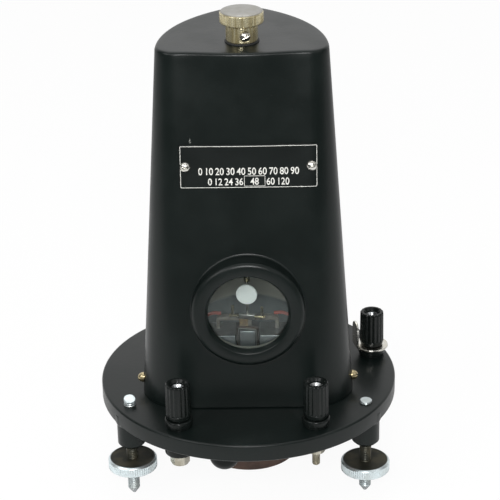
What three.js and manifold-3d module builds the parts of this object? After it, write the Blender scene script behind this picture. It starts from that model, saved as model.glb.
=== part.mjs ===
// Ballistic galvanometer: a mirror and coil hang on a strip inside a tapered cast housing,
// on a round base with three levelling screws and three terminal posts.
// Millimetres, +Z up, front towards -Y. Heights of the pieces are taken from the base's top face.
// The origin is on the floor, at the middle of the whole instrument's plan.
import * as THREE from "three";
import { mergeVertices } from "three/addons/utils/BufferGeometryUtils.js";
import Module from "manifold-3d";

const wasm = await Module();
wasm.setup();

// Counts of facets round a circle
const wideFacets = 48;
const discFacets = 32;
const roundFacets = 16;
const smallFacets = 12;

// Clearances and the overrun of every cut
const overrun = 1;
const runningGap = 0.15;
const seatGap = 0.1;
const restGap = 0.3;

// Base plate
const baseRadius = 75;
const baseThickness = 8.9;
const baseEdge = 1.4;
const lugWidth = 10;
const lugDepth = 8;
const lugHeight = 14;
const leadHoleRadius = 2.4;
const leadHoleX = 29;
const leadHoleY = 10;

// Levelling screws, one at the back and two at the front
const levelRimInset = 7.4;
const levelBossRadius = 6.9;
const levelBossDrop = 13.5;
const levelBossChamfer = 1.6;
const levelScrewRadius = 3;
const levelScrewLength = 53.7;
const levelScrewProud = 3.2;
const tallScrewProud = 4.25;
const shortScrewProud = 1.4;
const raisedDiscLift = 2.85;
const levelScrewChamfer = 0.6;
const levelStemShown = 10.2;
const levelDiscRadius = 12.2;
const levelDiscHeight = 5.3;
const levelDiscChamfer = 0.9;
const levelDiscFootChamfer = 0.3;
const levelToothDepth = 0.5;
const levelTeeth = 20;
const levelPointHeight = 3.2;
const levelTipRadius = 0.8;

// Housing cover: a tapered, rounded triangle in plan, its foot in shares of the base's radius
const coverHeight = 177;
const coverWall = 3;
const coverRoof = 4;
const coverEdgeRadius = 1.4;
const footHalfShare = 0.7027;
const footWideShare = 0.2227;
const footCornerShare = 0.2933;
const footBackShare = 0.7867;
const topHalfWidth = 41;
const topWideY = -6.6;
const topCornerRadius = 10;
const topBackY = 55.1;
const topBackRadius = 20.4;
const topBow = 2.9;
const bowGrowth = 6;
const frontSteps = 6;
const cornerSteps = 5;
const sideSteps = 6;
const backSteps = 6;
const edgeSteps = 3;
const wallBands = 5;

// Window boss, glass and ring
const windowX = 1;
const windowHeight = 51;
const windowBossRadius = 27.6;
const windowBossDepth = 10.6;
const windowRadius = 19.5;
const windowBevel = 1.3;
const windowBevelDepth = 2.6;
const glassRadius = 22;
const glassThickness = 2;
const glassSetback = 3.1;
const ringInnerRadius = 21.2;
const ringThickness = 1.6;

// Slotted round-head screws
const headRadius = 2.55;
const headHeight = 1.9;
const headSteps = 3;
const shankRadius = 1.4;
const slotWidth = 0.7;
const slotDepth = 0.9;
const coverScrewLength = 8;
const coverScrewY = -18;
const coverScrewZ = 6.9;
const coverHeadHeight = 3.1;

// Name plate
const plateWidthShare = 0.7334;
const plateHeight = 20.8;
const plateThickness = 0.9;
const plateCentreX = 2.4;
const plateCentreZ = 122.8;
const plateSteps = 20;
const plateScrewInset = 2.8;
const plateScrewCentreX = 2.3;
const plateScrewLength = 4.2;

// Torsion head on the roof
const collarRadius = 7.65;
const collarHeight = 8;
const collarChamfer = 0.5;
const collarBore = 2.75;
const spigotRadius = 5;
const washerRadius = 8.3;
const washerThickness = 0.6;
const collarNutRadius = 7.4;
const collarNutHeight = 3;
const spindleRadius = 2.6;
const spindleBelowNut = 2;
const torsionDiscRadius = 10.45;
const torsionDiscHeight = 5.5;
const torsionDiscChamfer = 0.5;
const torsionDome = 1.1;
const torsionHubRadius = 4.5;
const torsionHubHeight = 0.5;
const torsionToothDepth = 0.35;
const torsionTeeth = 20;
const plateSlotTurns = [-25, 30].map(THREE.MathUtils.degToRad);
const coverSlotTurn = THREE.MathUtils.degToRad(60);
const clampSlotTurn = THREE.MathUtils.degToRad(25);
const clampScrewTurn = THREE.MathUtils.degToRad(12.8);
const clampScrewLength = 4.6;
const clampScrewZ = 3.8;

// Magnet, poles, core and bridge
const poleRadius = 24;
const poleGapHalf = 6.1;
const poleFootTop = 2;
const poleTop = 22;
const poleReach = 20;
const poleFrontY = -3.6;
const poleBackY = 12;
const poleArcSteps = 10;
const magnetGapHalf = 8;
const magnetHeight = 27.3;
const yokeRadius = 25;
const yokeThickness = 8.2;
const yokeEdge = 1;
const clampRingRadius = 27.8;
const clampRingHeight = 5;
const coreHalfWidth = 3.9;
const coreHalfDepth = 1.8;
const coreTop = 23.6;
const coreBottom = -20;
const bridgeHalfSpan = 16.5;
const bridgeLegWidth = 3;
const bridgeDepth = 4;
const bridgeY = 7;
const bridgeTop = 28.5;
const bridgeBar = 2;
const bridgeTongueWidth = 4;
const bridgeTongueBottom = 8;
const coreStudRadius = 1.2;
const coreStudZ = 12;
const anchorRadius = 1.5;
const anchorHeight = 3;

// Suspended system on the vertical axis
const formerInnerHalf = 4.35;
const formerInnerTop = 24.4;
const formerInnerBottom = -20.8;
const formerWall = 0.4;
const formerHalfDepth = 1.1;
const windingWall = 0.85;
const windingHalfDepth = 0.9;
const tabWidth = 4.4;
const tabCentreX = -1.9;
const coilTurn = THREE.MathUtils.degToRad(-8);
const tabThickness = 0.9;
const barBottom = 30.9;
const barHeight = 1.1;
const barHalfLength = 9.3;
const barDepth = 2;
const hubWidth = 8;
const hubHeight = 2.6;
const hubThickness = 1.5;
const weightRadius = 0.75;
const weightHeight = 5;
const weightX = 7.5;
const stemRadius = 0.6;
const mirrorRadius = 5.375;
const mirrorThickness = 1.2;
const mirrorZ = 44.3;
const ferruleRadius = 1.5;
const ferruleHeight = 3;
const ferruleBottom = 50.8;
const stripWidth = 0.5;
const stripThickness = 0.15;
const springRadius = 1.6;
const springWireRadius = 0.22;
const springCurls = 6;
const curlSteps = 8;
const wireSides = 5;

// Terminal posts
const frontPostX = 33.3;
const frontPostInset = 10.7;
const rearPostInset = 8.5;
const rearPostTurn = THREE.MathUtils.degToRad(15.7);
const studRadius = 1.95;
const studTop = 12.5;
const shortStudEnd = 20.8;
const longStudEnd = 22.4;
const postCollarRadius = 6.8;
const postCollarFootRadius = 6.3;
const postCollarFoot = 1;
const postCollarLip = 0.5;
const postCollarHeight = 4.6;
const postSpigotRadius = 4;
const postSpigotLength = 8.4;
const capHeight = 18.5;
const capFootRadius = 5.6;
const capSkirt = 2.4;
const capLowRadius = 6.2;
const capHighRadius = 6;
const capEdge = 0.5;
const capFunnelRadius = 4.2;
const capFunnelDepth = 1.2;
const capFlutes = 16;
const fluteDepth = 0.35;
const insertRadius = 3.2;
const insertBore = 2.1;
const insertRecess = 2;
const insertFootRecess = 0.6;
const tallBushHeight = 5.8;
const lowBushHeight = 1.6;
const bushRadius = 7.2;
const nutWasherRadius = 4.65;
const nutWasherThickness = 0.9;
const postNutRadius = 4.75;
const postNutHeight = 3.4;
const tallNutHeight = 4.9;

// Tag on the rear post, with its upright blade
const tagRadius = 8.5;
const tagThickness = 1;
const bladeReach = 9.2;
const bladeWidth = 8;
const bladeHeight = 14;
const bladeTurn = THREE.MathUtils.degToRad(195);

// Damping resistor under the plate, front left of the magnet
const resistorRadius = 7.7;
const resistorHeight = 26.2;
const resistorRounding = 7.2;
const resistorX = -12.1;
const resistorY = -36;
const roundingSteps = 4;

// Covered leads from the bridge to the front posts
const leadRadius = 0.9;
const leadSides = 6;
const leadSteps = 24;

const sides = [
  { name: "left", side: -1 },
  { name: "right", side: 1 },
];

// Where things end up
const footHalfWidth = baseRadius * footHalfShare;
const footWideY = -baseRadius * footWideShare;
const footCornerRadius = baseRadius * footCornerShare;
const footBackY = baseRadius * footBackShare;
const footBackRadius = footCornerRadius;
const standHeight = levelScrewLength - levelScrewProud;
const levelPitchRadius = baseRadius - levelRimInset;
const frontPostY = -Math.sqrt((baseRadius - frontPostInset) ** 2 - frontPostX ** 2);
const rearPostX = (baseRadius - rearPostInset) * Math.cos(rearPostTurn);
const rearPostY = (baseRadius - rearPostInset) * Math.sin(rearPostTurn);
const rearOverhang = levelPitchRadius + levelDiscRadius - baseRadius;
const roofUnderside = coverHeight - coverRoof;
const collarLow = coverHeight + washerThickness;
const collarHigh = collarLow + collarHeight;
const spindleEnd = roofUnderside - collarNutHeight - spindleBelowNut;
const barTop = barBottom + barHeight;
const windingTop = formerInnerTop + formerWall + seatGap + windingWall;
const windingBottom = formerInnerBottom - formerWall - seatGap - windingWall;
const ferruleTop = ferruleBottom + ferruleHeight;
const magnetTop = -baseThickness;
const yokeTop = magnetTop - magnetHeight;
const glassFront = footWideY - footCornerRadius + glassSetback;

const colours = {
  satinBlack: { color: 0x1c2122, roughness: 0.42, metalness: 0.2 },
  blackPlastic: { color: 0x101213, roughness: 0.3, metalness: 0 },
  plateBlack: { color: 0x15191a, roughness: 0.45, metalness: 0.1 },
  nickel: { color: 0xb9b8ac, roughness: 0.25, metalness: 1 },
  brass: { color: 0x9a8350, roughness: 0.35, metalness: 1 },
  steel: { color: 0x6c7072, roughness: 0.35, metalness: 1 },
  iron: { color: 0x50565a, roughness: 0.4, metalness: 1 },
  magnetBrown: { color: 0x5a3a2c, roughness: 0.6, metalness: 0.1 },
  aluminium: { color: 0xa9a9a4, roughness: 0.4, metalness: 1 },
  copper: { color: 0x8c4a2c, roughness: 0.4, metalness: 1 },
  paxolin: { color: 0x7a6238, roughness: 0.6, metalness: 0 },
  mirror: { color: 0xf2f4f4, roughness: 0.03, metalness: 1 },
  glass: { color: 0xdfe8e4, roughness: 0.05, metalness: 0 },
  rubber: { color: 0x0c0d0e, roughness: 0.8, metalness: 0 },
  leadRed: { color: 0x8f3a30, roughness: 0.7, metalness: 0 },
};

// The base's top face is at zero height inside this group.
const instrument = new THREE.Group();
instrument.position.set(0, -rearOverhang / 2, standHeight);

function add(name, geometry, finish) {
  const mesh = new THREE.Mesh(geometry, new THREE.MeshStandardMaterial(colours[finish]));
  mesh.name = name;
  instrument.add(mesh);
  return mesh;
}

// Leaves positions only, merges shared corners, drops empty triangles and turns the faces outwards.
function closed(geometry) {
  geometry.deleteAttribute("normal");
  geometry.deleteAttribute("uv");
  const merged = mergeVertices(geometry);
  const corner = merged.getAttribute("position");
  const index = merged.getIndex().array;
  const faces = [];
  const [a, b, c] = [new THREE.Vector3(), new THREE.Vector3(), new THREE.Vector3()];
  let volume = 0;
  for (let i = 0; i < index.length; i += 3) {
    const [p, q, r] = [index[i], index[i + 1], index[i + 2]];
    if (p === q || q === r || r === p) continue;
    faces.push([p, q, r]);
    a.fromBufferAttribute(corner, p);
    b.fromBufferAttribute(corner, q);
    c.fromBufferAttribute(corner, r);
    volume += a.dot(b.cross(c));
  }
  const outward = volume > 0 ? faces : faces.map(([p, q, r]) => [p, r, q]);
  merged.setIndex(outward.flat());
  return merged;
}

function solidOf(geometry) {
  const vertProperties = new Float32Array(geometry.getAttribute("position").array);
  const triVerts = new Uint32Array(geometry.getIndex().array);
  return new wasm.Manifold(new wasm.Mesh({ numProp: 3, vertProperties, triVerts }));
}

function geometryOf(solid) {
  const mesh = solid.getMesh();
  const geometry = new THREE.BufferGeometry();
  geometry.setAttribute("position", new THREE.BufferAttribute(mesh.vertProperties, 3));
  geometry.setIndex(new THREE.BufferAttribute(mesh.triVerts, 1));
  return geometry;
}

function cut(body, tools) {
  return geometryOf(tools.reduce((solid, tool) => solid.subtract(solidOf(tool)), solidOf(body)));
}

function joined(bodies) {
  return geometryOf(bodies.slice(1).reduce((solid, body) => solid.add(solidOf(body)), solidOf(bodies[0])));
}

// A turned solid about Z from [radius, height] points that start and end on the axis, or close a ring.
function turned(profile, facets) {
  const points = profile.map(([radius, height]) => new THREE.Vector2(radius, height));
  const geometry = new THREE.LatheGeometry(points, facets);
  geometry.rotateX(Math.PI / 2);
  return closed(geometry);
}

function rod(radius, low, high, facets) {
  return turned([[0, low], [radius, low], [radius, high], [0, high]], facets);
}

function ring(inner, outer, low, high, facets) {
  return turned([[inner, low], [outer, low], [outer, high], [inner, high], [inner, low]], facets);
}

function block(xLow, xHigh, yLow, yHigh, zLow, zHigh) {
  const geometry = new THREE.BoxGeometry(xHigh - xLow, yHigh - yLow, zHigh - zLow);
  geometry.translate((xLow + xHigh) / 2, (yLow + yHigh) / 2, (zLow + zHigh) / 2);
  return closed(geometry);
}

// A flat outline raised from one height to another.
function raised(outline, low, high) {
  const shape = new THREE.Shape(outline.map(([x, y]) => new THREE.Vector2(x, y)));
  const geometry = new THREE.ExtrudeGeometry(shape, { depth: high - low, bevelEnabled: false });
  geometry.translate(0, 0, low);
  return closed(geometry);
}

function arc(centreX, centreY, radius, from, to, steps) {
  return Array.from({ length: steps + 1 }, (_, i) => {
    const angle = from + ((to - from) * i) / steps;
    return [centreX + radius * Math.cos(angle), centreY + radius * Math.sin(angle)];
  });
}

// Presses alternate facets of a turned rim in by the tooth depth, between two heights.
function knurled(geometry, facets, rimRadius, depth) {
  const place = geometry.getAttribute("position");
  for (let i = 0; i < place.count; i++) {
    const [x, y] = [place.getX(i), place.getY(i)];
    const radius = Math.hypot(x, y);
    const facet = Math.round((Math.atan2(y, x) / (2 * Math.PI)) * facets);
    if (radius < rimRadius - depth || facet % 2 === 0) continue;
    place.setXY(i, (x * (radius - depth)) / radius, (y * (radius - depth)) / radius);
  }
  return geometry;
}

// A slotted round-head screw along +Z, its head's seat at zero.
function roundHeadScrew(length, slotTurn, height) {
  const dome = arc(0, 0, 1, 0, Math.PI / 2, headSteps).map(([u, v]) => [u * headRadius, v * height]);
  dome[headSteps][0] = 0;
  const profile = [[0, -length], [shankRadius, -length], [shankRadius, 0], ...dome];
  const reach = headRadius + overrun;
  const [slotLow, slotHigh] = [height - slotDepth, height + overrun];
  const slot = block(-reach, reach, -slotWidth / 2, slotWidth / 2, slotLow, slotHigh);
  slot.rotateZ(slotTurn);
  return cut(turned(profile, smallFacets), [slot]);
}

function mix(low, high, share) {
  return low + (high - low) * share;
}

// The housing's front face at a side distance and a height, before its corners.
function frontY(x, height, inset) {
  const share = height / coverHeight;
  const corner = mix(footCornerRadius, topCornerRadius, share);
  const straight = mix(footHalfWidth, topHalfWidth, share) - corner;
  const along = Math.min(Math.abs(x) / straight, 1);
  const bow = topBow * share ** bowGrowth * Math.cos((Math.PI / 2) * along) ** 2;
  const past = Math.max(Math.abs(x) - straight, 0);
  const turn = Math.sqrt((corner - inset) ** 2 - past ** 2);
  return mix(footWideY, topWideY, share) - turn - bow;
}

// Half the housing's width at a depth on its front corners and a height.
function cornerX(y, height, inset) {
  const share = height / coverHeight;
  const corner = mix(footCornerRadius, topCornerRadius, share);
  const straight = mix(footHalfWidth, topHalfWidth, share) - corner;
  const ahead = Math.min(y - mix(footWideY, topWideY, share), 0);
  return straight + Math.sqrt((corner - inset) ** 2 - ahead ** 2);
}

// The housing's outline at a height, moved in by an inset: front, corners, sides and back are arcs.
function housingOutline(height, inset) {
  const share = height / coverHeight;
  const half = mix(footHalfWidth, topHalfWidth, share) - inset;
  const wideY = mix(footWideY, topWideY, share);
  const corner = mix(footCornerRadius, topCornerRadius, share) - inset;
  const backRadius = mix(footBackRadius, topBackRadius, share) - inset;
  const backCentre = mix(footBackY, topBackY, share) - inset - backRadius;
  const rise = backCentre - wideY;
  const sideRadius = (half ** 2 + rise ** 2 - backRadius ** 2) / (2 * (half - backRadius));
  const sideCentre = half - sideRadius;
  const meet = Math.atan2(rise, -sideCentre);
  const straight = half - corner;
  const front = Array.from({ length: frontSteps + 1 }, (_, i) => {
    const x = straight * ((2 * i) / frontSteps - 1);
    return [x, frontY(x, height, inset)];
  });
  const rightCorner = arc(straight, wideY, corner, -Math.PI / 2, 0, cornerSteps);
  const rightSide = arc(sideCentre, wideY, sideRadius, 0, meet, sideSteps);
  const back = arc(0, backCentre, backRadius, meet, Math.PI - meet, backSteps);
  const leftSide = arc(-sideCentre, wideY, sideRadius, Math.PI - meet, Math.PI, sideSteps);
  const leftCorner = arc(-straight, wideY, corner, Math.PI, 1.5 * Math.PI, cornerSteps);
  const pieces = [front, rightCorner, rightSide, back, leftSide, leftCorner];
  return pieces.flatMap((piece) => piece.slice(0, -1));
}

// A closed skin through outlines of equal length, each with its own height, capped at both ends.
function lofted(levels) {
  const count = levels[0].outline.length;
  const places = levels.flatMap(({ outline, height }) => outline.flatMap(([x, y]) => [x, y, height]));
  const faces = [];
  for (let level = 0; level + 1 < levels.length; level++) {
    for (let i = 0; i < count; i++) {
      const next = (i + 1) % count;
      const [a, b] = [level * count + i, level * count + next];
      faces.push(a, b, b + count, a, b + count, a + count);
    }
  }
  const flat = (outline) => outline.map(([x, y]) => new THREE.Vector2(x, y));
  const last = (levels.length - 1) * count;
  THREE.ShapeUtils.triangulateShape(flat(levels[0].outline), []).forEach(([a, b, c]) => faces.push(a, c, b));
  THREE.ShapeUtils.triangulateShape(flat(levels.at(-1).outline), []).forEach(([a, b, c]) => {
    faces.push(last + a, last + b, last + c);
  });
  const geometry = new THREE.BufferGeometry();
  geometry.setAttribute("position", new THREE.Float32BufferAttribute(places, 3));
  geometry.setIndex(faces);
  return closed(geometry);
}

// The housing from its foot to a top height, with a rounded top edge.
function housingBody(low, top, inset, edge) {
  const levels = Array.from({ length: wallBands }, (_, i) => {
    const height = mix(low, top - edge, i / wallBands);
    return { height, outline: housingOutline(height, inset) };
  });
  for (let i = 0; i <= edgeSteps; i++) {
    const angle = (Math.PI / 2) * (i / edgeSteps);
    const height = top - edge + edge * Math.sin(angle);
    levels.push({ height, outline: housingOutline(height, inset + edge * (1 - Math.cos(angle))) });
  }
  return lofted(levels);
}

function alongFront(geometry, frontPlace) {
  geometry.rotateX(Math.PI / 2);
  geometry.translate(windowX, frontPlace, windowHeight);
  return geometry;
}

// The name plate's width, a share of the housing's, and the lean of the front wall, which its screws follow.
const plateWidth = 2 * plateWidthShare * mix(footHalfWidth, topHalfWidth, plateCentreZ / coverHeight);
const frontLean = Math.atan2(frontY(0, plateCentreZ + 1, 0) - frontY(0, plateCentreZ - 1, 0), 2);
const coverScrewSeat = cornerX(coverScrewY, coverScrewZ, 0);
const plateScrewXs = [-1, 1].map((side) => plateScrewCentreX + side * (plateWidth / 2 - plateScrewInset));

// Puts a part that lies along +Z, with its seat at zero, on the name plate's face.
function onPlate(geometry, x, lift) {
  geometry.translate(0, 0, lift);
  geometry.rotateX(Math.PI / 2 - frontLean);
  geometry.translate(x, frontY(x, plateCentreZ, 0), plateCentreZ);
  return geometry;
}

// Puts a part that lies along +Z on the cover's side, on the side screws' line.
function onSide(geometry, side, distance) {
  geometry.rotateY((side * Math.PI) / 2);
  geometry.translate(side * distance, coverScrewY, coverScrewZ);
  return geometry;
}

function housingCover() {
  const shell = cut(housingBody(0, coverHeight, 0, coverEdgeRadius), [
    housingBody(-overrun, roofUnderside, coverWall, coverEdgeRadius),
  ]);
  const front = footWideY - footCornerRadius;
  const boss = alongFront(rod(windowBossRadius, -windowBossDepth, 0, wideFacets), front);
  const wide = windowRadius + windowBevel;
  const slope = windowBevel / windowBevelDepth;
  const opening = [
    [0, -windowBossDepth - overrun],
    [windowRadius, -windowBossDepth - overrun],
    [windowRadius, -windowBevelDepth],
    [wide + overrun * slope, overrun],
    [0, overrun],
  ];
  const recess = rod(glassRadius + seatGap, -windowBossDepth - overrun, -glassSetback, wideFacets);
  const plateHoles = plateScrewXs.map((x) => {
    const hole = rod(shankRadius + runningGap, -plateScrewLength - overrun, overrun, smallFacets);
    return onPlate(hole, x, 0);
  });
  const sideHoles = [-1, 1].map((side) => {
    const hole = rod(shankRadius + runningGap, -coverWall - overrun, overrun, smallFacets);
    return onSide(hole, side, coverScrewSeat);
  });
  return cut(joined([shell, boss]), [
    alongFront(turned(opening, wideFacets), front),
    alongFront(recess, front),
    rod(spigotRadius + runningGap, roofUnderside - overrun, coverHeight + overrun, roundFacets),
    ...plateHoles,
    ...sideHoles,
  ]);
}

// A thin plate that follows the front wall.
function namePlate() {
  const [left, right] = [plateCentreX - plateWidth / 2, plateCentreX + plateWidth / 2];
  const [low, high] = [plateCentreZ - plateHeight / 2, plateCentreZ + plateHeight / 2];
  const xs = Array.from({ length: plateSteps + 1 }, (_, i) => mix(left, right, i / plateSteps));
  const band = (height) => {
    const back = xs.map((x) => [x, frontY(x, height, 0) - restGap]);
    const front = xs.map((x) => [x, frontY(x, height, 0) - restGap - plateThickness]);
    return [...front, ...back.reverse()];
  };
  const plate = lofted([low, high].map((height) => ({ height, outline: band(height) })));
  const holes = plateScrewXs.map((x) => {
    const hole = rod(shankRadius + runningGap, -plateScrewLength, plateThickness + overrun, smallFacets);
    return onPlate(hole, x, 0);
  });
  return cut(plate, holes);
}

function basePlate() {
  const low = -baseThickness;
  const disc = turned([
    [0, low],
    [baseRadius - baseEdge / 2, low],
    [baseRadius, low + baseEdge / 2],
    [baseRadius, -baseEdge],
    [baseRadius - baseEdge, 0],
    [0, 0],
  ], wideFacets);
  const bosses = levelPlaces.map(({ x, y }) => {
    const boss = turned([
      [0, low - levelBossDrop],
      [levelBossRadius - levelBossChamfer, low - levelBossDrop],
      [levelBossRadius, low - levelBossDrop + levelBossChamfer],
      [levelBossRadius, low / 2],
      [0, low / 2],
    ], roundFacets);
    boss.translate(x, y, 0);
    return boss;
  });
  const lugFace = cornerX(coverScrewY - lugWidth / 2, lugHeight, coverWall) - restGap;
  const lugs = [-1, 1].map((side) => {
    const [near, far] = [side * lugFace, side * (lugFace - lugDepth)];
    const [yLow, yHigh] = [coverScrewY - lugWidth / 2, coverScrewY + lugWidth / 2];
    return block(Math.min(near, far), Math.max(near, far), yLow, yHigh, low / 2, lugHeight);
  });
  const bore = (x, y, radius, facets) => {
    const hole = rod(radius, low - levelBossDrop - overrun, overrun, facets);
    hole.translate(x, y, 0);
    return hole;
  };
  const lugHoles = [-1, 1].map((side) => {
    const hole = rod(shankRadius + runningGap, -lugDepth - overrun, overrun, smallFacets);
    return onSide(hole, side, lugFace);
  });
  return cut(joined([disc, ...bosses, ...lugs]), [
    bore(0, 0, poleRadius + runningGap, wideFacets),
    ...levelPlaces.map(({ x, y }) => bore(x, y, levelScrewRadius + runningGap, roundFacets)),
    ...posts.map(({ x, y }) => bore(x, y, postSpigotRadius + runningGap, roundFacets)),
    ...[-1, 1].map((side) => bore(side * leadHoleX, leadHoleY, leadHoleRadius, smallFacets)),
    ...lugHoles,
  ]);
}

// Places of the levelling screws and of the posts
const levelPlaces = [
  { name: "left", turn: (7 * Math.PI) / 6, proud: tallScrewProud, lift: raisedDiscLift },
  { name: "right", turn: (11 * Math.PI) / 6, proud: shortScrewProud, lift: 0 },
  { name: "rear", turn: Math.PI / 2, proud: levelScrewProud, lift: 0 },
].map(({ name, turn, proud, lift }) => ({
  name,
  proud,
  lift,
  x: levelPitchRadius * Math.cos(turn),
  y: levelPitchRadius * Math.sin(turn),
}));
const posts = [
  { name: "left", x: -frontPostX, y: frontPostY, bush: tallBushHeight, nut: tallNutHeight, studEnd: shortStudEnd },
  { name: "right", x: frontPostX, y: frontPostY, bush: lowBushHeight, nut: postNutHeight, studEnd: longStudEnd },
  { name: "rear", x: rearPostX, y: rearPostY, bush: lowBushHeight, nut: postNutHeight, studEnd: longStudEnd },
].map((post) => ({ ...post, tag: post.name === "rear" ? tagThickness : 0 }));

function levellingScrew(proud, lift) {
  const stubEnd = levelScrewProud - levelScrewLength + levelPointHeight;
  const discTop = lift - baseThickness - levelBossDrop - levelStemShown;
  const discLow = discTop - levelDiscHeight;
  const inner = levelDiscRadius - levelDiscChamfer;
  const profile = [
    [0, stubEnd],
    [levelScrewRadius, stubEnd],
    [levelScrewRadius, discLow],
    [levelDiscRadius - levelDiscFootChamfer, discLow],
    [levelDiscRadius, discLow + levelDiscFootChamfer],
    [levelDiscRadius, discTop - levelDiscChamfer],
    [inner, discTop],
    [levelScrewRadius, discTop],
    [levelScrewRadius, proud - levelScrewChamfer],
    [levelScrewRadius - levelScrewChamfer, proud],
    [0, proud],
  ];
  const facets = 2 * levelTeeth;
  return knurled(turned(profile, facets), facets, levelDiscRadius, levelToothDepth);
}

function levellingPoint() {
  const tip = levelScrewProud - levelScrewLength;
  const top = tip + levelPointHeight;
  return turned([[0, tip], [levelTipRadius, tip], [levelScrewRadius, top], [0, top]], roundFacets);
}

function torsionCollar() {
  const low = roofUnderside - collarNutHeight;
  const rim = collarRadius - collarChamfer;
  const body = turned([
    [collarBore, low],
    [spigotRadius, low],
    [spigotRadius, collarLow],
    [rim, collarLow],
    [collarRadius, collarLow + collarChamfer],
    [collarRadius, collarHigh - collarChamfer],
    [rim, collarHigh],
    [collarBore, collarHigh],
    [collarBore, low],
  ], discFacets);
  const hole = rod(shankRadius + runningGap, 0, collarRadius + overrun, smallFacets);
  return cut(body, [towardsClamp(hole, 0)]);
}

// Lays a part along the clamp screw's line, with its zero at a distance from the axis.
function towardsClamp(geometry, distance) {
  geometry.translate(0, 0, distance);
  geometry.rotateX(Math.PI / 2);
  geometry.rotateZ(clampScrewTurn);
  geometry.translate(0, 0, collarLow + clampScrewZ);
  return geometry;
}

function torsionHead() {
  const hubLow = collarHigh + seatGap;
  const low = hubLow + torsionHubHeight;
  const high = low + torsionDiscHeight;
  const rim = torsionDiscRadius - torsionDiscChamfer;
  const dome = arc(0, 0, 1, 0, Math.PI / 2, headSteps).map(([u, v]) => [u * rim, high + v * torsionDome]);
  dome[headSteps][0] = 0;
  const profile = [
    [0, spindleEnd],
    [spindleRadius, spindleEnd],
    [spindleRadius, hubLow],
    [torsionHubRadius, hubLow],
    [torsionHubRadius, low],
    [rim, low],
    [torsionDiscRadius, low + torsionDiscChamfer],
    [torsionDiscRadius, high - torsionDiscChamfer],
    ...dome,
  ];
  const facets = 2 * torsionTeeth;
  return knurled(turned(profile, facets), facets, torsionDiscRadius, torsionToothDepth);
}

// A six-sided nut with a bore.
function hexNut(radius, bore, low, high) {
  const hexagon = arc(0, 0, radius, 0, 2 * Math.PI, 6).slice(0, -1);
  return cut(raised(hexagon, low, high), [rod(bore, low - overrun, high + overrun, roundFacets)]);
}

// The part of a disc beyond a flat on one side.
function discSegment(side, radius, gapHalf, low, high) {
  const swing = Math.acos(gapHalf / radius);
  const middle = side > 0 ? 0 : Math.PI;
  return raised(arc(0, 0, radius, middle - swing, middle + swing, poleArcSteps), low, high);
}

// A pole piece: a disc segment in the plate, with a block standing on it beside the coil's gap.
function polePiece(side) {
  const foot = discSegment(side, poleRadius, poleGapHalf, magnetTop, poleFootTop);
  const [near, far] = [side * poleGapHalf, side * poleReach];
  const [xLow, xHigh] = [Math.min(near, far), Math.max(near, far)];
  return joined([foot, block(xLow, xHigh, poleFrontY, poleBackY, poleFootTop / 2, poleTop)]);
}

// The disc under both magnets, with the lower spring's anchor post on it.
function magnetYoke() {
  const low = yokeTop - yokeThickness;
  return turned([
    [0, low],
    [yokeRadius - yokeEdge, low],
    [yokeRadius, low + yokeEdge],
    [yokeRadius, yokeTop],
    [anchorRadius, yokeTop],
    [anchorRadius, yokeTop + anchorHeight],
    [0, yokeTop + anchorHeight],
  ], discFacets);
}

// An upturned U that stands on the poles and holds the core by a tongue and a stud.
function coreBridge() {
  const [front, back] = [bridgeY - bridgeDepth / 2, bridgeY + bridgeDepth / 2];
  const legs = [-1, 1].map((side) => {
    const outer = side * bridgeHalfSpan;
    const inner = side * (bridgeHalfSpan - bridgeLegWidth);
    return block(Math.min(outer, inner), Math.max(outer, inner), front, back, poleTop, bridgeTop);
  });
  const bar = block(-bridgeHalfSpan, bridgeHalfSpan, front, back, bridgeTop - bridgeBar, bridgeTop);
  const tongueHalf = bridgeTongueWidth / 2;
  const tongue = block(-tongueHalf, tongueHalf, front, back, bridgeTongueBottom, bridgeTop - bridgeBar / 2);
  const stud = rod(coreStudRadius, coreHalfDepth + seatGap, bridgeY, smallFacets);
  stud.rotateX(-Math.PI / 2);
  stud.translate(0, 0, coreStudZ);
  return joined([bar, ...legs, tongue, stud]);
}

// A flat loop round the core, in the upright plane through the axis.
function uprightLoop(innerHalf, innerLow, innerHigh, wall, halfDepth) {
  const half = innerHalf + wall;
  const outer = block(-half, half, -halfDepth, halfDepth, innerLow - wall, innerHigh + wall);
  const reach = halfDepth + overrun;
  return cut(outer, [block(-innerHalf, innerHalf, -reach, reach, innerLow, innerHigh)]);
}

function coilFormer() {
  return uprightLoop(formerInnerHalf, formerInnerBottom, formerInnerTop, formerWall, formerHalfDepth);
}

function coilWinding() {
  const away = formerWall + seatGap;
  const [low, high] = [formerInnerBottom - away, formerInnerTop + away];
  return uprightLoop(formerInnerHalf + away, low, high, windingWall, windingHalfDepth);
}

// A cross bar with an upright weight near each end.
function inertiaBar() {
  const bar = block(-barHalfLength, barHalfLength, -barDepth / 2, barDepth / 2, barBottom, barTop);
  const weights = [-1, 1].map((side) => {
    const weight = rod(weightRadius, barBottom + barHeight / 2, barTop + weightHeight, smallFacets);
    weight.translate(side * weightX, 0, 0);
    return weight;
  });
  return joined([bar, ...weights]);
}

class SpringLine extends THREE.Curve {
  constructor(low, high) {
    super();
    this.low = low;
    this.high = high;
  }

  // Curls between two short straights on the axis.
  getPoint(share, target = new THREE.Vector3()) {
    const angle = share * springCurls * 2 * Math.PI;
    const spread = springRadius * Math.sin(Math.PI * share) ** 0.25;
    return target.set(spread * Math.cos(angle), spread * Math.sin(angle), mix(this.low, this.high, share));
  }
}

// A round tube of one section along a curve.
function tube(curve, radius, sides, steps) {
  const section = new THREE.Shape(arc(0, 0, radius, 0, 2 * Math.PI, sides).slice(0, -1).map(([x, y]) => {
    return new THREE.Vector2(x, y);
  }));
  return closed(new THREE.ExtrudeGeometry(section, { steps, bevelEnabled: false, extrudePath: curve }));
}

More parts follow.
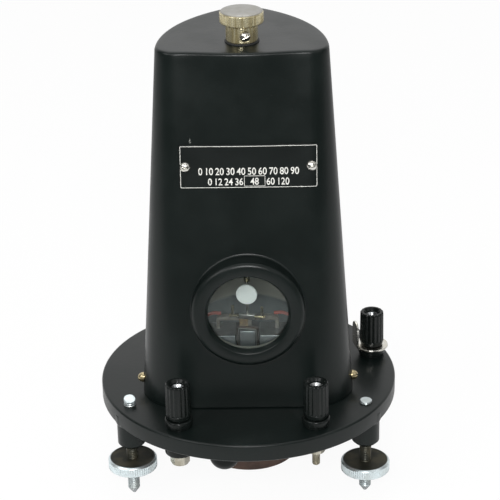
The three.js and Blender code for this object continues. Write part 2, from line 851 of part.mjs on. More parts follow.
function lowerSpring() {
  const low = yokeTop + anchorHeight + seatGap;
  const high = windingBottom - seatGap;
  const pitch = (high - low) / springCurls;
  console.log(`lower spring: least gap between curls ${(pitch - 2 * springWireRadius).toFixed(2)} mm`);
  return tube(new SpringLine(low, high), springWireRadius, wireSides, springCurls * curlSteps);
}

// A covered lead from the bridge's end, down through the plate and forward to its post.
function lead(side, post) {
  const [top, low] = [bridgeTop + leadRadius + restGap, -baseThickness - 2 * leadRadius - restGap];
  const outside = poleRadius + leadRadius + restGap;
  const hub = (leadHoleX + outside) / 2;
  const under = low - leadRadius;
  const nutZ = -baseThickness - post.bush - nutWasherThickness - post.nut / 2;
  const nutFace = post.y + postNutRadius * Math.cos(Math.PI / 6) + restGap;
  const points = [
    [side * (bridgeHalfSpan - bridgeLegWidth), bridgeY, top],
    [side * (bridgeHalfSpan + 2 * leadRadius), bridgeY, top],
    [side * hub, leadHoleY, poleTop],
    [side * leadHoleX, leadHoleY, poleTop / 2],
    [side * leadHoleX, leadHoleY, 0],
    [side * leadHoleX, leadHoleY, low],
    [side * (leadHoleX + leadHoleRadius), 0, under],
    [side * frontPostX, frontPostY / 2, under],
    [side * frontPostX, post.y + 2 * bushRadius, under],
    [side * frontPostX, post.y + bushRadius, nutZ],
    [side * frontPostX, nutFace, nutZ],
  ].map(([x, y, z]) => new THREE.Vector3(x, y, z));
  return tube(new THREE.CatmullRomCurve3(points), leadRadius, leadSides, leadSteps);
}

function postCollar() {
  const rim = postCollarRadius - postCollarLip;
  return turned([
    [studRadius + runningGap, -postSpigotLength],
    [postSpigotRadius, -postSpigotLength],
    [postSpigotRadius, 0],
    [postCollarFootRadius, 0],
    [postCollarFootRadius, postCollarFoot],
    [postCollarRadius, postCollarFoot + postCollarLip],
    [postCollarRadius, postCollarHeight - postCollarLip],
    [rim, postCollarHeight],
    [studRadius + runningGap, postCollarHeight],
    [studRadius + runningGap, -postSpigotLength],
  ], roundFacets);
}

// A fluted cap with a skirt at its foot, a funnel at its top and a bore for the metal insert.
function postCap() {
  const bore = insertRadius + seatGap;
  const facets = 2 * capFlutes;
  const profile = [
    [bore, 0],
    [capFootRadius, 0],
    [capLowRadius, capSkirt],
    [capHighRadius, capHeight - capEdge],
    [capHighRadius - capEdge, capHeight],
    [capFunnelRadius, capHeight],
    [bore, capHeight - capFunnelDepth],
    [bore, 0],
  ];
  return knurled(turned(profile, facets), facets, capHighRadius, fluteDepth);
}

function postInsert() {
  return ring(insertBore, insertRadius, insertFootRecess, capHeight - insertRecess, roundFacets);
}

function postStud(end) {
  const low = -end;
  return turned([
    [0, low],
    [studRadius / 2, low],
    [studRadius, low + studRadius / 2],
    [studRadius, studTop],
    [0, studTop],
  ], roundFacets);
}

// A hexagon nut in one piece with its round washer.
function postNut(height) {
  const bore = studRadius + seatGap;
  const washer = ring(bore, nutWasherRadius, -nutWasherThickness, 0, roundFacets);
  const nut = hexNut(postNutRadius, bore, -nutWasherThickness - height, -nutWasherThickness / 2);
  return joined([washer, nut]);
}

// A round tag with a short tail that turns up into a blade.
function terminalTag() {
  const half = bladeWidth / 2;
  const disc = rod(tagRadius, 0, tagThickness, roundFacets);
  const tail = block(0, bladeReach, -half, half, 0, tagThickness);
  const blade = block(bladeReach - tagThickness, bladeReach, -half, half, 0, tagThickness + bladeHeight);
  const flat = joined([disc, tail, blade]);
  flat.rotateZ(bladeTurn);
  return cut(flat, [rod(studRadius + runningGap, -overrun, tagThickness + overrun, roundFacets)]);
}

function dampingResistor() {
  const low = -resistorHeight;
  const start = resistorRadius - resistorRounding;
  const round = arc(start, low + resistorRounding, resistorRounding, -Math.PI / 2, 0, roundingSteps);
  return turned([[0, low], ...round, [resistorRadius, 0], [0, 0]], roundFacets);
}

function addPost({ name, x, y, tag, bush, nut, studEnd }) {
  const bore = studRadius + runningGap;
  const capSeat = postCollarHeight + tag + restGap;
  const underside = -baseThickness;
  const pieces = [
    ["stud", postStud(studEnd), "nickel", 0],
    ["collar", postCollar(), "blackPlastic", 0],
    ["insert", postInsert(), "nickel", capSeat],
    ["cap", postCap(), "blackPlastic", capSeat],
    ["bush", ring(bore, bushRadius, -bush, 0, roundFacets), "blackPlastic", underside],
    ["nut", postNut(nut), "nickel", underside - bush],
  ];
  for (const [piece, geometry, finish, height] of pieces) {
    add(`terminal_${name}_${piece}`, geometry, finish).position.set(x, y, height);
  }
  if (tag > 0) add("terminal_tag", terminalTag(), "nickel").position.set(x, y, postCollarHeight);
}

function addHousing() {
  const glassAt = (low, high, outer) => alongFront(rod(outer, low, high, wideFacets), glassFront);
  const glassBack = -glassThickness;
  add("housing_cover", housingCover(), "satinBlack");
  add("window_glass", glassAt(glassBack, -seatGap, glassRadius), "glass");
  const ringHigh = glassBack - seatGap;
  const retainer = ring(ringInnerRadius, glassRadius, ringHigh - ringThickness, ringHigh, discFacets);
  add("window_ring", alongFront(retainer, glassFront), "satinBlack");
  add("name_plate", namePlate(), "plateBlack");
  const lift = plateThickness + 2 * restGap;
  sides.forEach(({ name, side }, i) => {
    const plateScrew = roundHeadScrew(plateScrewLength, plateSlotTurns[i], headHeight);
    add(`name_plate_screw_${name}`, onPlate(plateScrew, plateScrewXs[i], lift), "nickel");
    const coverScrew = roundHeadScrew(coverScrewLength, coverSlotTurn, coverHeadHeight);
    add(`cover_screw_${name}`, onSide(coverScrew, side, coverScrewSeat + restGap), "brass");
  });
}

function addTorsionHead() {
  const washerInner = spigotRadius + runningGap;
  add("torsion_collar", torsionCollar(), "nickel");
  add("collar_washer", ring(washerInner, washerRadius, coverHeight, collarLow, discFacets), "rubber");
  const nutLow = roofUnderside - collarNutHeight;
  add("collar_nut", hexNut(collarNutRadius, spigotRadius + seatGap, nutLow, roofUnderside), "brass");
  add("torsion_head", torsionHead(), "nickel");
  const screw = roundHeadScrew(clampScrewLength, clampSlotTurn, headHeight);
  add("torsion_clamp_screw", towardsClamp(screw, collarRadius + restGap), "nickel");
}

function addMagnet() {
  for (const { name, side } of sides) {
    add(`pole_${name}`, polePiece(side), "iron");
    add(`magnet_${name}`, discSegment(side, poleRadius, magnetGapHalf, yokeTop, magnetTop), "steel");
    const post = posts.find((candidate) => candidate.name === name);
    add(`lead_${name}`, lead(side, post), "leadRed");
  }
  add("magnet_yoke", magnetYoke(), "magnetBrown");
  const ringInner = poleRadius + runningGap;
  const ringLow = magnetTop - clampRingHeight;
  add("magnet_clamp_ring", ring(ringInner, clampRingRadius, ringLow, magnetTop, discFacets), "aluminium");
  const [coreHalf, coreDepth] = [coreHalfWidth, coreHalfDepth];
  add("iron_core", block(-coreHalf, coreHalf, -coreDepth, coreDepth, coreBottom, coreTop), "iron");
  add("core_bridge", coreBridge(), "brass");
  const resistor = add("damping_resistor", dampingResistor(), "blackPlastic");
  resistor.position.set(resistorX, resistorY, -baseThickness);
}

function addSuspension() {
  const hang = (name, geometry, finish) => {
    add(name, geometry, finish).rotation.set(0, 0, coilTurn);
  };
  const [barHalf, tabHalf] = [barDepth / 2, tabThickness / 2];
  const mirrorBack = -stemRadius - seatGap;
  const mirrorDisc = rod(mirrorRadius, -mirrorBack, -mirrorBack + mirrorThickness, discFacets);
  mirrorDisc.rotateX(Math.PI / 2);
  mirrorDisc.translate(0, 0, mirrorZ);
  const [hubHalf, hubBack] = [hubWidth / 2, -barHalf - seatGap];
  const hub = block(-hubHalf, hubHalf, hubBack - hubThickness, hubBack, barBottom, barBottom + hubHeight);
  const [stripHalf, stripEdge] = [stripWidth / 2, stripThickness / 2];
  const stripTop = spindleEnd - restGap;
  const strip = block(-stripHalf, stripHalf, -stripEdge, stripEdge, ferruleTop, stripTop);
  hang("suspension_strip", strip, "brass");
  hang("strip_ferrule", rod(ferruleRadius, ferruleBottom, ferruleTop, smallFacets), "brass");
  hang("mirror", mirrorDisc, "mirror");
  hang("mirror_stem", rod(stemRadius, barTop, ferruleBottom, smallFacets), "nickel");
  hang("inertia_bar", inertiaBar(), "brass");
  hang("bar_hub", hub, "aluminium");
  const [tabLeft, tabRight] = [tabCentreX - tabWidth / 2, tabCentreX + tabWidth / 2];
  hang("coil_tab", block(tabLeft, tabRight, -tabHalf, tabHalf, windingTop, barBottom), "paxolin");
  hang("coil_former", coilFormer(), "aluminium");
  hang("coil_winding", coilWinding(), "copper");
  hang("lower_spring", lowerSpring(), "copper");
}

add("base_plate", basePlate(), "satinBlack");
addHousing();
addTorsionHead();
addMagnet();
addSuspension();
posts.forEach(addPost);
for (const { name, x, y, proud, lift } of levelPlaces) {
  add(`levelling_screw_${name}`, levellingScrew(proud, lift), "nickel").position.set(x, y, 0);
  add(`levelling_point_${name}`, levellingPoint(), "steel").position.set(x, y, 0);
}

const group = new THREE.Group();
group.add(instrument);
export default group;
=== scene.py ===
"""Looks of a ballistic galvanometer: its visible pieces, their finishes and a plain studio.

Shapes are worked out in millimetres about the suspension, with heights from the top face of the
base. metres() puts them in the frame, and every finished piece keeps its place in its mesh.
"""

import math

import bmesh
import bpy
import numpy as np
from bpy.props import FloatProperty, FloatVectorProperty, IntProperty, PointerProperty
from mathutils import Matrix, Vector


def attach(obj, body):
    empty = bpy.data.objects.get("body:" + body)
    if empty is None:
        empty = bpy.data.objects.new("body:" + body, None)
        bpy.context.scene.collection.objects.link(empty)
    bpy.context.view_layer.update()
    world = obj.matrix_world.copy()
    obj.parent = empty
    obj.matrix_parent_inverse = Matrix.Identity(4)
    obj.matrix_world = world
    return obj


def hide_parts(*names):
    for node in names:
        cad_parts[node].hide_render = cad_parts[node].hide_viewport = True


bl_info = {
    "name": "Ballistic galvanometer",
    "version": (1, 0, 0),
    "blender": (4, 5, 0),
    "location": "View3D > Sidebar > Galvanometer",
    "description": "Builds the visible pieces, finishes and studio of a ballistic galvanometer",
    "category": "Object",
}

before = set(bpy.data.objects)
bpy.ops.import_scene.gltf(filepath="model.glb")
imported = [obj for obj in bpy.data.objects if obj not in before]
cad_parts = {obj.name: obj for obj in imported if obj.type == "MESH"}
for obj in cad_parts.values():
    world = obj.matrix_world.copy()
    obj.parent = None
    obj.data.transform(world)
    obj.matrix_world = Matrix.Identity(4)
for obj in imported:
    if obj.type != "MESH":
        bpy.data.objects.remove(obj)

MM = 0.001
AXIS = np.array((0.0, -2.4, 50.5))
TURN = 2 * math.pi
BODY = "instrument"

# The base, its underside and what hangs from it
UNDERSIDE = -8.9
SEAM = 0.05
LEVEL_BOSS_DROP = 13.5
LEVEL_BOSS_RADIUS = 6.9
BORE_BELOW = 15.0
LUG_X = (37.4, 45.4)
LUG_Y = (-23, -13)
LUG_TOP = 14.0
LEAD_HOLE = (29.0, 10.0)
LEAD_BORE = 2.4
LEAD_RADIUS = 0.9

# The cover: half width, widest depth, front corner, back radius and back end at its foot and roof
COVER_FOOT = (52.7, -16.7, 22.0, 22.0, 59.0)
COVER_ROOF = (41.0, -6.6, 10.0, 20.4, 55.1)
COVER = 177.0
ROOF_UNDER = 173.0
WALL = 3.0
FRONT_HALF = 34.0
BOW = 2.9
ROOF_BORE = 5.15
SIDE_SCREW_Y = -18.0
SIDE_SCREW_Z = 6.9

# The window
WINDOW_X = 1.0
WINDOW_Z = 51.0
WINDOW_RADIUS = 19.5
WINDOW_BAND = 31.5
BOSS_RADIUS = 27.6
BOSS_FRONT = -38.7
BOSS_DEPTH = 10.6
GLASS_RADIUS = 22.0
GLASS_SETBACK = 3.1
GLASS_BACK = -2.0
RING_RADIUS = 21.2
RING_BACK = -3.7

# The front plate, with heights off the wall, and slotted screws
PLATE_SIDES = (-30.3, 35.1)
PLATE_ENDS = (112.4, 133.2)
PLATE_Z = 122.8
PLATE_BACK = 0.3
PLATE_FACE = 1.2
LINE_FOOT = 1.15
LINE_TOP = 1.24
FIGURE_TOP = 1.26
PLATE_SCREWS = 29.9
SCREW_HEAD = 2.55
SLOT_WIDTH = 0.7
SLOT_DEPTH = 0.9

# The torsion head
SPIGOT_FOOT = 170.0
COLLAR_FOOT = 177.6
COLLAR_TOP = 185.6
SPINDLE_FOOT = 168.0
SPINDLE_RADIUS = 2.6
HEAD_RADIUS = 10.45
HEAD_TOP = 191.7
CLAMP_TURN = math.radians(12.8)

# The magnet, its poles, its yoke and the bridge
MAGNET_RADIUS = 24.0
MAGNET_BORE = 24.15
MAGNET_FOOT = -36.1
MAGNET_HALF_GAP = 8.0
POLE_HALF_GAP = 6.1
YOKE_RADIUS = 25.0
YOKE_FOOT = -44.4
BRIDGE_TOP = 27.5
BRIDGE_Y = 7.0

# The suspended system, with half widths and heights before it is turned
COIL_TURN = math.radians(-8)
FERRULE_FOOT = 50.8
FERRULE_TOP = 53.8
MIRROR_RADIUS = 5.375
MIRROR_Z = 44.3
CROSS_BAR_HALF = 9.3
CROSS_BAR_Z = (30.9, 32.0)
WEIGHT_X = 7.5
WEIGHT_TOP = 37.0
FORMER_HALF = 4.35
FORMER_Z = (-20.8, 24.4)
WINDING_LIFT = 0.5
WINDING_THICK = 0.85
WINDING_DEPTH = 0.9
SPRING_TURNS = 6
SPRING_RADIUS = 1.6
SPRING_Z = (-33.1, -22.15)

# The terminal posts
POSTS = {"left": (-33.3, -55.005), "right": (33.3, -55.005), "rear": (64.019, 17.995)}
POST_HOLE = 4.15
POST_BORE = 2.1
STUD_RADIUS = 1.95
STUD_TOP = 12.5
STUD_PITCH = 0.7
COLLAR = 4.6
CAP = 18.5
BUSH_RADIUS = 7.2

# The levelling screws
LEVELS = {"left": (-58.543, -33.8), "right": (58.543, -33.8), "rear": (0.0, 67.6)}
LEVEL_BORE = 3.12
LEVEL_RADIUS = 3.0
LEVEL_PITCH = 1.0
LEVEL_FOOT = -47.3
POINT_END = -50.5
DISC_RADIUS = 12.2
DISC_HEIGHT = 5.3


# Shapes

def metres(points):
    """Millimetres about the suspension to metres in the frame."""
    return (np.asarray(points, float) + AXIS) * MM


def mix(low, high, share):
    """A value a share of the way from low to high."""
    return low + (high - low) * share


def ease(low, high, value):
    """0 below low, 1 above high, and 3 s^2 - 2 s^3 between them."""
    share = np.clip((value - low) / (high - low), 0, 1)
    return share * share * (3 - 2 * share)


def rounded(corners, closed=False, steps=5):
    """A path through corners of (x, y, radius): an arc tangent to both sides replaces each corner."""
    places = np.array([corner[:2] for corner in corners], float)
    last = len(corners) - 1
    path = []
    for index, corner in enumerate(corners):
        here, radius = places[index], corner[2]
        if radius == 0 or (not closed and index in (0, last)):
            path.append(here[None])
            continue
        before = places[index - 1] - here
        after = places[(index + 1) % len(corners)] - here
        before, after = before / np.linalg.norm(before), after / np.linalg.norm(after)
        half = math.acos(np.clip(before @ after, -1, 1)) / 2
        inward = (before + after) / np.linalg.norm(before + after)
        middle = here + inward * radius / math.sin(half)
        start = here + before * radius / math.tan(half) - middle
        end = here + after * radius / math.tan(half) - middle
        swing = math.pi - 2 * half
        side = (end - start * math.cos(swing)) / math.sin(swing)
        angle = np.linspace(0, swing, steps + 1)[:, None]
        path.append(middle + start * np.cos(angle) + side * np.sin(angle))
    path = np.concatenate(path)
    return np.concatenate((path, path[:1])) if closed else path


def between_rows(profile, spacing):
    """The same path with points no further apart than a spacing."""
    profile = np.asarray(profile, float)
    pieces = [profile[:1]]
    for start, end in zip(profile[:-1], profile[1:]):
        count = max(1, math.ceil(np.linalg.norm(end - start) / spacing))
        pieces.append(start + (end - start) * (np.arange(1, count + 1) / count)[:, None])
    return np.concatenate(pieces)


def lathe(profile, around=64, shape=None):
    """(r cos a, r sin a, z): a profile of radius and height carried round Z; shape(r, z, a) alters r."""
    profile = np.asarray(profile, float)
    angle = np.linspace(0, TURN, around + 1)
    radius = np.repeat(profile[:, :1], around + 1, 1)
    height = np.repeat(profile[:, 1:2], around + 1, 1)
    if shape is not None:
        radius = shape(radius, height, angle[None])
    return np.stack((radius * np.cos(angle), radius * np.sin(angle), height), -1)


def flutes(count, depth, rim, low, high, fade=0.4):
    """Presses round-bottomed grooves, depth (0.5 + 0.5 cos(count a))^1.5, into a rim between two heights."""
    def shape(radius, height, angle):
        groove = (0.5 + 0.5 * np.cos(count * angle)) ** 1.5
        reach = ease(low - fade, low, height) * ease(-high - fade, -high, -height)
        return radius - depth * groove * reach * ease(rim - 1.2 * depth - 0.2, rim, radius)
    return shape


def teeth(count, depth, rim, low, high):
    """Straight knurling: a triangle wave of count teeth and a depth on a rim between two heights."""
    def shape(radius, height, angle):
        wave = np.abs((count * angle / TURN) % 1 * 2 - 1)
        inside = (height > low) & (height < high) & (radius > rim - 0.05)
        return radius - depth * wave * inside
    return shape


def thread(pitch, depth, rim, low, high):
    """A screw thread: r - depth tri(z / pitch - a / turn) on a shank between two heights."""
    def shape(radius, height, angle):
        wave = np.abs((height / pitch - angle / TURN) % 1 * 2 - 1)
        reach = ease(low, low + pitch, height) * ease(-high, -high + pitch / 2, -height)
        return radius - depth * wave * reach * (np.abs(radius - rim) < 0.02)
    return shape


def outline_inset(outline, inset):
    """A closed outline moved inwards along its own normals."""
    around = outline[:-1]
    along = np.roll(around, -1, 0) - np.roll(around, 1, 0)
    normal = np.stack((-along[:, 1], along[:, 0]), -1)
    normal /= np.maximum(np.linalg.norm(normal, axis=1, keepdims=True), 1e-9)
    area = np.sum(around[:, 0] * np.roll(around[:, 1], -1) - around[:, 1] * np.roll(around[:, 0], -1))
    moved = around + normal * inset * np.sign(area)
    return np.concatenate((moved, moved[:1]))


def at_height(outline, height):
    """Points of x and y with one height added."""
    return np.column_stack((outline, np.full(len(outline), height)))


def prism(outline, low, high, edge=0.25, steps=3, rings=1):
    """A closed outline carried from low to high, its rims rounded and its ends drawn in to the middle."""
    outline = np.asarray(outline, float)
    middle = outline[:-1].mean(0)
    angle = np.linspace(0, math.pi / 2, steps + 1)
    rise = edge * (1 - np.cos(angle))
    inset = edge * (1 - np.sin(angle))
    rows = [(inset[i], low + rise[i]) for i in range(steps + 1)]
    rows += [(inset[i], high - rise[i]) for i in range(steps, -1, -1)]
    layers = [at_height(outline_inset(outline, amount), height) for amount, height in rows]
    point = [np.tile((*middle, height), (len(outline), 1)) for height in (low, high)]
    shares = np.linspace(1, 0, rings + 1)[1:]
    first = [mix(point[0], layers[0], share) for share in shares[::-1]]
    last = [mix(point[1], layers[-1], share) for share in shares]
    return np.array(first + layers + last)


def rectangle(x, y, radius, steps):
    """A closed path between two x and two y values with its corners rounded."""
    corners = [(x[0], y[0], radius), (x[1], y[0], radius), (x[1], y[1], radius), (x[0], y[1], radius)]
    return rounded(corners, closed=True, steps=steps)


def bar(x, y, z, edge=0.25):
    """A block between two x, two y and two z values with all its edges rounded."""
    return prism(rectangle(x, y, edge, 3), z[0], z[1], edge)


def tube(path, radius, sides=12, reference=(0, 0, 1), section=None):
    """Circles, or another section, carried square to a path, with both ends drawn in to the path."""
    path = np.asarray(path, float)
    along = np.gradient(path, axis=0)
    along /= np.linalg.norm(along, axis=1, keepdims=True)
    first = np.cross(along, reference)
    first /= np.linalg.norm(first, axis=1, keepdims=True)
    second = np.cross(along, first)
    angle = np.linspace(0, TURN, sides + 1)
    flat = np.column_stack((np.cos(angle), np.sin(angle))) * radius if section is None else section
    skin = path[:, None] + flat[:, 0, None] * first[:, None] + flat[:, 1, None] * second[:, None]
    ends = [np.repeat(path[i][None, None], len(flat), 1) for i in (0, -1)]
    return np.concatenate((ends[0], skin, ends[1]))


def smooth_path(points, steps=10):
    """A Catmull-Rom curve through points, with a knot for each point by its distance to the last."""
    points = np.asarray(points, float)
    knots = np.concatenate(((0,), np.cumsum(np.sqrt(np.linalg.norm(np.diff(points, axis=0), axis=1)))))
    slope = np.gradient(points, knots, axis=0)
    at = np.linspace(0, 1, steps, endpoint=False)[:, None]
    pieces = []
    for i in range(len(points) - 1):
        span = knots[i + 1] - knots[i]
        pieces.append((2 * at**3 - 3 * at**2 + 1) * points[i] + (at**3 - 2 * at**2 + at) * span * slope[i]
                      + (3 * at**2 - 2 * at**3) * points[i + 1] + (at**3 - at**2) * span * slope[i + 1])
    return np.concatenate(pieces + [points[-1:]])


def loop(half, low, high, wall, depth, corner, section=None):
    """A closed upright frame: a section carried round a rounded rectangle in the plane of X and Z."""
    ring = rectangle((-half, half), (low, high), corner, 6)[:-1]
    along = np.roll(ring, -1, 0) - np.roll(ring, 1, 0)
    outward = np.stack((along[:, 1], -along[:, 0]), -1)
    outward /= np.linalg.norm(outward, axis=1, keepdims=True)
    flat = rectangle((0, wall), (-depth, depth), 0.1, 2) if section is None else section
    flat_x = ring[:, None, 0] + outward[:, None, 0] * flat[None, :, 0]
    flat_z = ring[:, None, 1] + outward[:, None, 1] * flat[None, :, 0]
    skin = np.stack((flat_x, np.broadcast_to(flat[None, :, 1], flat_x.shape), flat_z), -1)
    return np.concatenate((skin, skin[:1]))


def turned(points, x=0.0, y=0.0, z=0.0):
    """Points turned about X, then Y, then Z through the axis."""
    turn = Matrix.Rotation(z, 3, "Z") @ Matrix.Rotation(y, 3, "Y") @ Matrix.Rotation(x, 3, "X")
    return np.asarray(points) @ np.array(turn).T


# The cover's walls

def cover_sizes(z):
    """Half width, widest depth, front corner, back radius and back centre of the cover at a height."""
    half, wide, corner, back, end = (mix(*ends, z / COVER) for ends in zip(COVER_FOOT, COVER_ROOF))
    return half, wide, corner, back, end - back


def front_depth(x, z, inset=0.0):
    """The front wall: the widest depth, less sqrt(corner^2 - past^2), less a bow cos^2 that grows upwards."""
    half, wide, corner, _, _ = cover_sizes(z)
    straight = half - corner
    bow = BOW * (z / COVER) ** 6 * np.cos(np.minimum(np.abs(x) / straight, 1) * math.pi / 2) ** 2
    past = np.maximum(np.abs(x) - straight, 0)
    return wide - np.sqrt(np.maximum((corner - inset) ** 2 - past**2, 0)) - bow


def cover_rows(z, inset, columns=(24, 12, 20, 14)):
    """Outlines of the cover at heights z, each moved in by an inset, as rows of points.

    The right half is the front, an arc for the corner, an arc for the side and an arc for the back. The left
    half is its mirror image in X.
    """
    z, inset = np.broadcast_arrays(np.atleast_1d(np.asarray(z, float)), inset)
    z, inset = z[:, None], np.asarray(inset, float)[:, None]
    half, wide, corner, back, centre = cover_sizes(z)
    straight, corner, back = half - corner, corner - inset, back - inset
    half = half - inset
    x_front = np.broadcast_to(np.linspace(0, FRONT_HALF, columns[0] + 1), (len(z), columns[0] + 1))
    front = np.stack((x_front, front_depth(x_front, z, inset)), -1)
    start = np.arcsin(np.clip((FRONT_HALF - straight) / corner, -1, 1))
    angle = mix(start, math.pi / 2, np.linspace(0, 1, columns[1] + 1)[None, 1:])
    bend = np.stack((straight + corner * np.sin(angle), wide - corner * np.cos(angle)), -1)
    rise = centre - wide
    radius = (half**2 + rise**2 - back**2) / (2 * (half - back))
    meet = np.arctan2(rise, radius - half)
    angle = meet * np.linspace(0, 1, columns[2] + 1)[None, 1:]
    side = np.stack((half - radius + radius * np.cos(angle), wide + radius * np.sin(angle)), -1)
    angle = mix(meet, math.pi / 2, np.linspace(0, 1, columns[3] + 1)[None, 1:])
    rear = np.stack((back * np.cos(angle), centre + back * np.sin(angle)), -1)
    right = np.concatenate((front, bend, side, rear), 1)
    left = right[:, ::-1] * (-1, 1)
    flat = np.concatenate((left, right[:, 1:]), 1)
    return np.concatenate((flat, np.broadcast_to(z[..., None], (*flat.shape[:2], 1))), -1)


def cover_grids(foot_bevel, roof_edge, fillet, boss_edge):
    """The cover as grids: walls outside and in, both roofs, and rings from the walls to the window."""
    low, high = WINDOW_Z - WINDOW_BAND, WINDOW_Z + WINDOW_BAND
    band = np.linspace(low, high, 41)
    quarter = np.linspace(0, math.pi / 2, 7)

    def wall(inset, top, edge, foot, under, over):
        heights = np.concatenate((np.linspace(foot, low, under)[:-1], band,
                                  np.linspace(high, top - edge, over)[1:]))
        insets = np.full(len(heights), inset)
        heights = np.concatenate((heights, top - edge + edge * np.sin(quarter[1:])))
        insets = np.concatenate((insets, inset + edge * (1 - np.cos(quarter[1:]))))
        return cover_rows(heights, insets), under - 1

    outside, first = wall(0.0, COVER, roof_edge, foot_bevel, 8, 34)
    inside, first_in = wall(WALL, ROOF_UNDER, roof_edge, 0.0, 8, 34)
    middle = (outside.shape[1] - 1) // 2
    columns = slice(middle - 24, middle + 25)

    def roof(edge_row, height):
        angle = np.arctan2(edge_row[:, 1], edge_row[:, 0])
        hole = at_height(ROOF_BORE * np.column_stack((np.cos(angle), np.sin(angle))), height)
        return mix(edge_row[None], hole[None], np.linspace(0, 1, 14)[:, None, None])

    def around_window(grid, start):
        rows = slice(start, start + 41)
        parts = [grid[:start + 1], grid[start + 40:],
                 grid[rows, :columns.start + 1], grid[rows, columns.stop - 1:]]
        block = grid[rows, columns]
        ring = np.concatenate((block[0], block[1:, -1], block[-1, -2::-1], block[-2::-1, 0]))
        return parts, ring

    parts, ring = around_window(outside, first)
    parts_in, ring_in = around_window(inside, first_in)
    top, top_in = roof(outside[-1], COVER), roof(inside[-1], ROOF_UNDER)
    foot = np.stack((outside[0], cover_rows(0.0, foot_bevel)[0], inside[0]))
    bore = np.stack((top[-1], top_in[-1]))

    angle = np.arctan2(ring[:, 2] - WINDOW_Z, ring[:, 0] - WINDOW_X)
    direction = np.column_stack((np.cos(angle), np.sin(angle)))

    def circle(radius):
        return WINDOW_X + radius * direction[:, 0], WINDOW_Z + radius * direction[:, 1]

    def at(radius, depth):
        x, z = circle(radius)
        return np.column_stack((x, np.broadcast_to(depth, x.shape), z))

    def spread(ring_points, radius, inset, count):
        x0, z0 = circle(radius)
        layers = []
        for share in np.linspace(1, 0, count):
            x, z = mix(x0, ring_points[:, 0], share), mix(z0, ring_points[:, 2], share)
            layers.append(np.column_stack((x, front_depth(x, z, inset), z)))
        return layers

    layers = spread(ring, BOSS_RADIUS + fillet, 0.0, 7)
    for psi in quarter[1:]:
        radius = BOSS_RADIUS + fillet * (1 - math.sin(psi))
        x, z = circle(radius)
        layers.append(at(radius, front_depth(x, z) - fillet * (1 - math.cos(psi))))
    for psi in quarter:
        layers.append(at(BOSS_RADIUS - boss_edge * (1 - math.cos(psi)),
                         BOSS_FRONT + boss_edge * (1 - math.sin(psi))))
    bevel = ((24.0, 0.0), (21.1, 0.0), (20.85, 0.1), (20.6, 0.4), (19.6, 2.35), (WINDOW_RADIUS, 2.6),
             (WINDOW_RADIUS, GLASS_SETBACK), (GLASS_RADIUS + 0.1, GLASS_SETBACK))
    layers += [at(radius, BOSS_FRONT + depth) for radius, depth in bevel]
    for radius in np.linspace(GLASS_RADIUS + 0.1, BOSS_RADIUS, 4):
        x, z = circle(radius)
        layers.append(at(radius, np.maximum(BOSS_FRONT + BOSS_DEPTH, front_depth(x, z, WALL))))
    layers += spread(ring_in, BOSS_RADIUS, WALL, 6)[::-1]
    return parts + parts_in + [top, top_in, foot, bore, np.array(layers)]


# Meshes and bodies

def finished(mesh, crease=32.0):
    """Merges doubles, turns the faces outwards and leaves edges sharper than the crease unsmoothed."""
    work = bmesh.new()
    work.from_mesh(mesh)
    bmesh.ops.remove_doubles(work, verts=work.verts, dist=2e-6)
    bmesh.ops.dissolve_degenerate(work, edges=work.edges, dist=1e-7)
    bmesh.ops.recalc_face_normals(work, faces=work.faces)
    open_edges = sum(1 for edge in work.edges if len(edge.link_faces) != 2)
    work.to_mesh(mesh)
    work.free()
    if open_edges:
        print(f"{mesh.name}: {open_edges} edges that don't join two faces")
    mesh.shade_smooth()
    mesh.set_sharp_from_angle(angle=math.radians(crease))


def new_object(name, data):
    """An object of that data at the origin of the scene."""
    made = bpy.data.objects.new(name, data)
    bpy.context.scene.collection.objects.link(made)
    return made


def evaluated(piece):
    """A new mesh of the piece as its modifiers or its text make it."""
    bpy.context.view_layer.update()
    return bpy.data.meshes.new_from_object(piece.evaluated_get(bpy.context.evaluated_depsgraph_get()))


def vertex_places(mesh):
    """The mesh's points as rows of x, y and z."""
    places = np.empty(len(mesh.vertices) * 3)
    mesh.vertices.foreach_get("co", places)
    return places.reshape(-1, 3)


def mark(mesh, name, values):
    """Keeps a number at each point of a mesh for its finish to read."""
    mesh.attributes.new(name, "FLOAT", "POINT").data.foreach_set("value", values.astype(np.float32))


def surface(name, grids, crease=32.0):
    """An object from grids of points in millimetres, each grid a surface of two parameters."""
    points, faces, base = [], [], 0
    for grid in grids:
        rows, columns = grid.shape[:2]
        index = base + np.arange(rows * columns).reshape(rows, columns)
        corners = (index[:-1, :-1], index[:-1, 1:], index[1:, 1:], index[1:, :-1])
        faces.append(np.stack(corners, -1).reshape(-1, 4))
        points.append(grid.reshape(-1, 3))
        base += rows * columns
    mesh = bpy.data.meshes.new(name)
    mesh.from_pydata(metres(np.concatenate(points)).tolist(), [], np.concatenate(faces).tolist())
    finished(mesh, crease)
    return new_object(name, mesh)


def carve(piece, tools, operation="DIFFERENCE", crease=32.0):
    """Cuts tools out of a piece, or joins them to it, and leaves the result in the piece's own mesh."""
    for tool in tools:
        modifier = piece.modifiers.new("carve", "BOOLEAN")
        modifier.operation, modifier.object, modifier.solver = operation, tool, "EXACT"
    done = evaluated(piece)
    piece.modifiers.clear()
    piece.data = done
    for tool in tools:
        bpy.data.objects.remove(tool)
    finished(done, crease)
    return piece


def dress(piece, slot, nodes=(), body=BODY, finish=None):
    """Gives a piece its finish, the slot's own unless another is named, and the body it rides on, and hides
    the CAD nodes that it stands for.
    """
    piece.data.materials.clear()
    piece.data.materials.append(material(finish or slot))
    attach(piece, body)
    if nodes:
        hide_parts(*nodes)
    return piece


def dress_node(name, finish):
    """Gives a CAD node that stays in view its finish."""
    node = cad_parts[name]
    node.data.materials.clear()
    node.data.materials.append(material(finish))


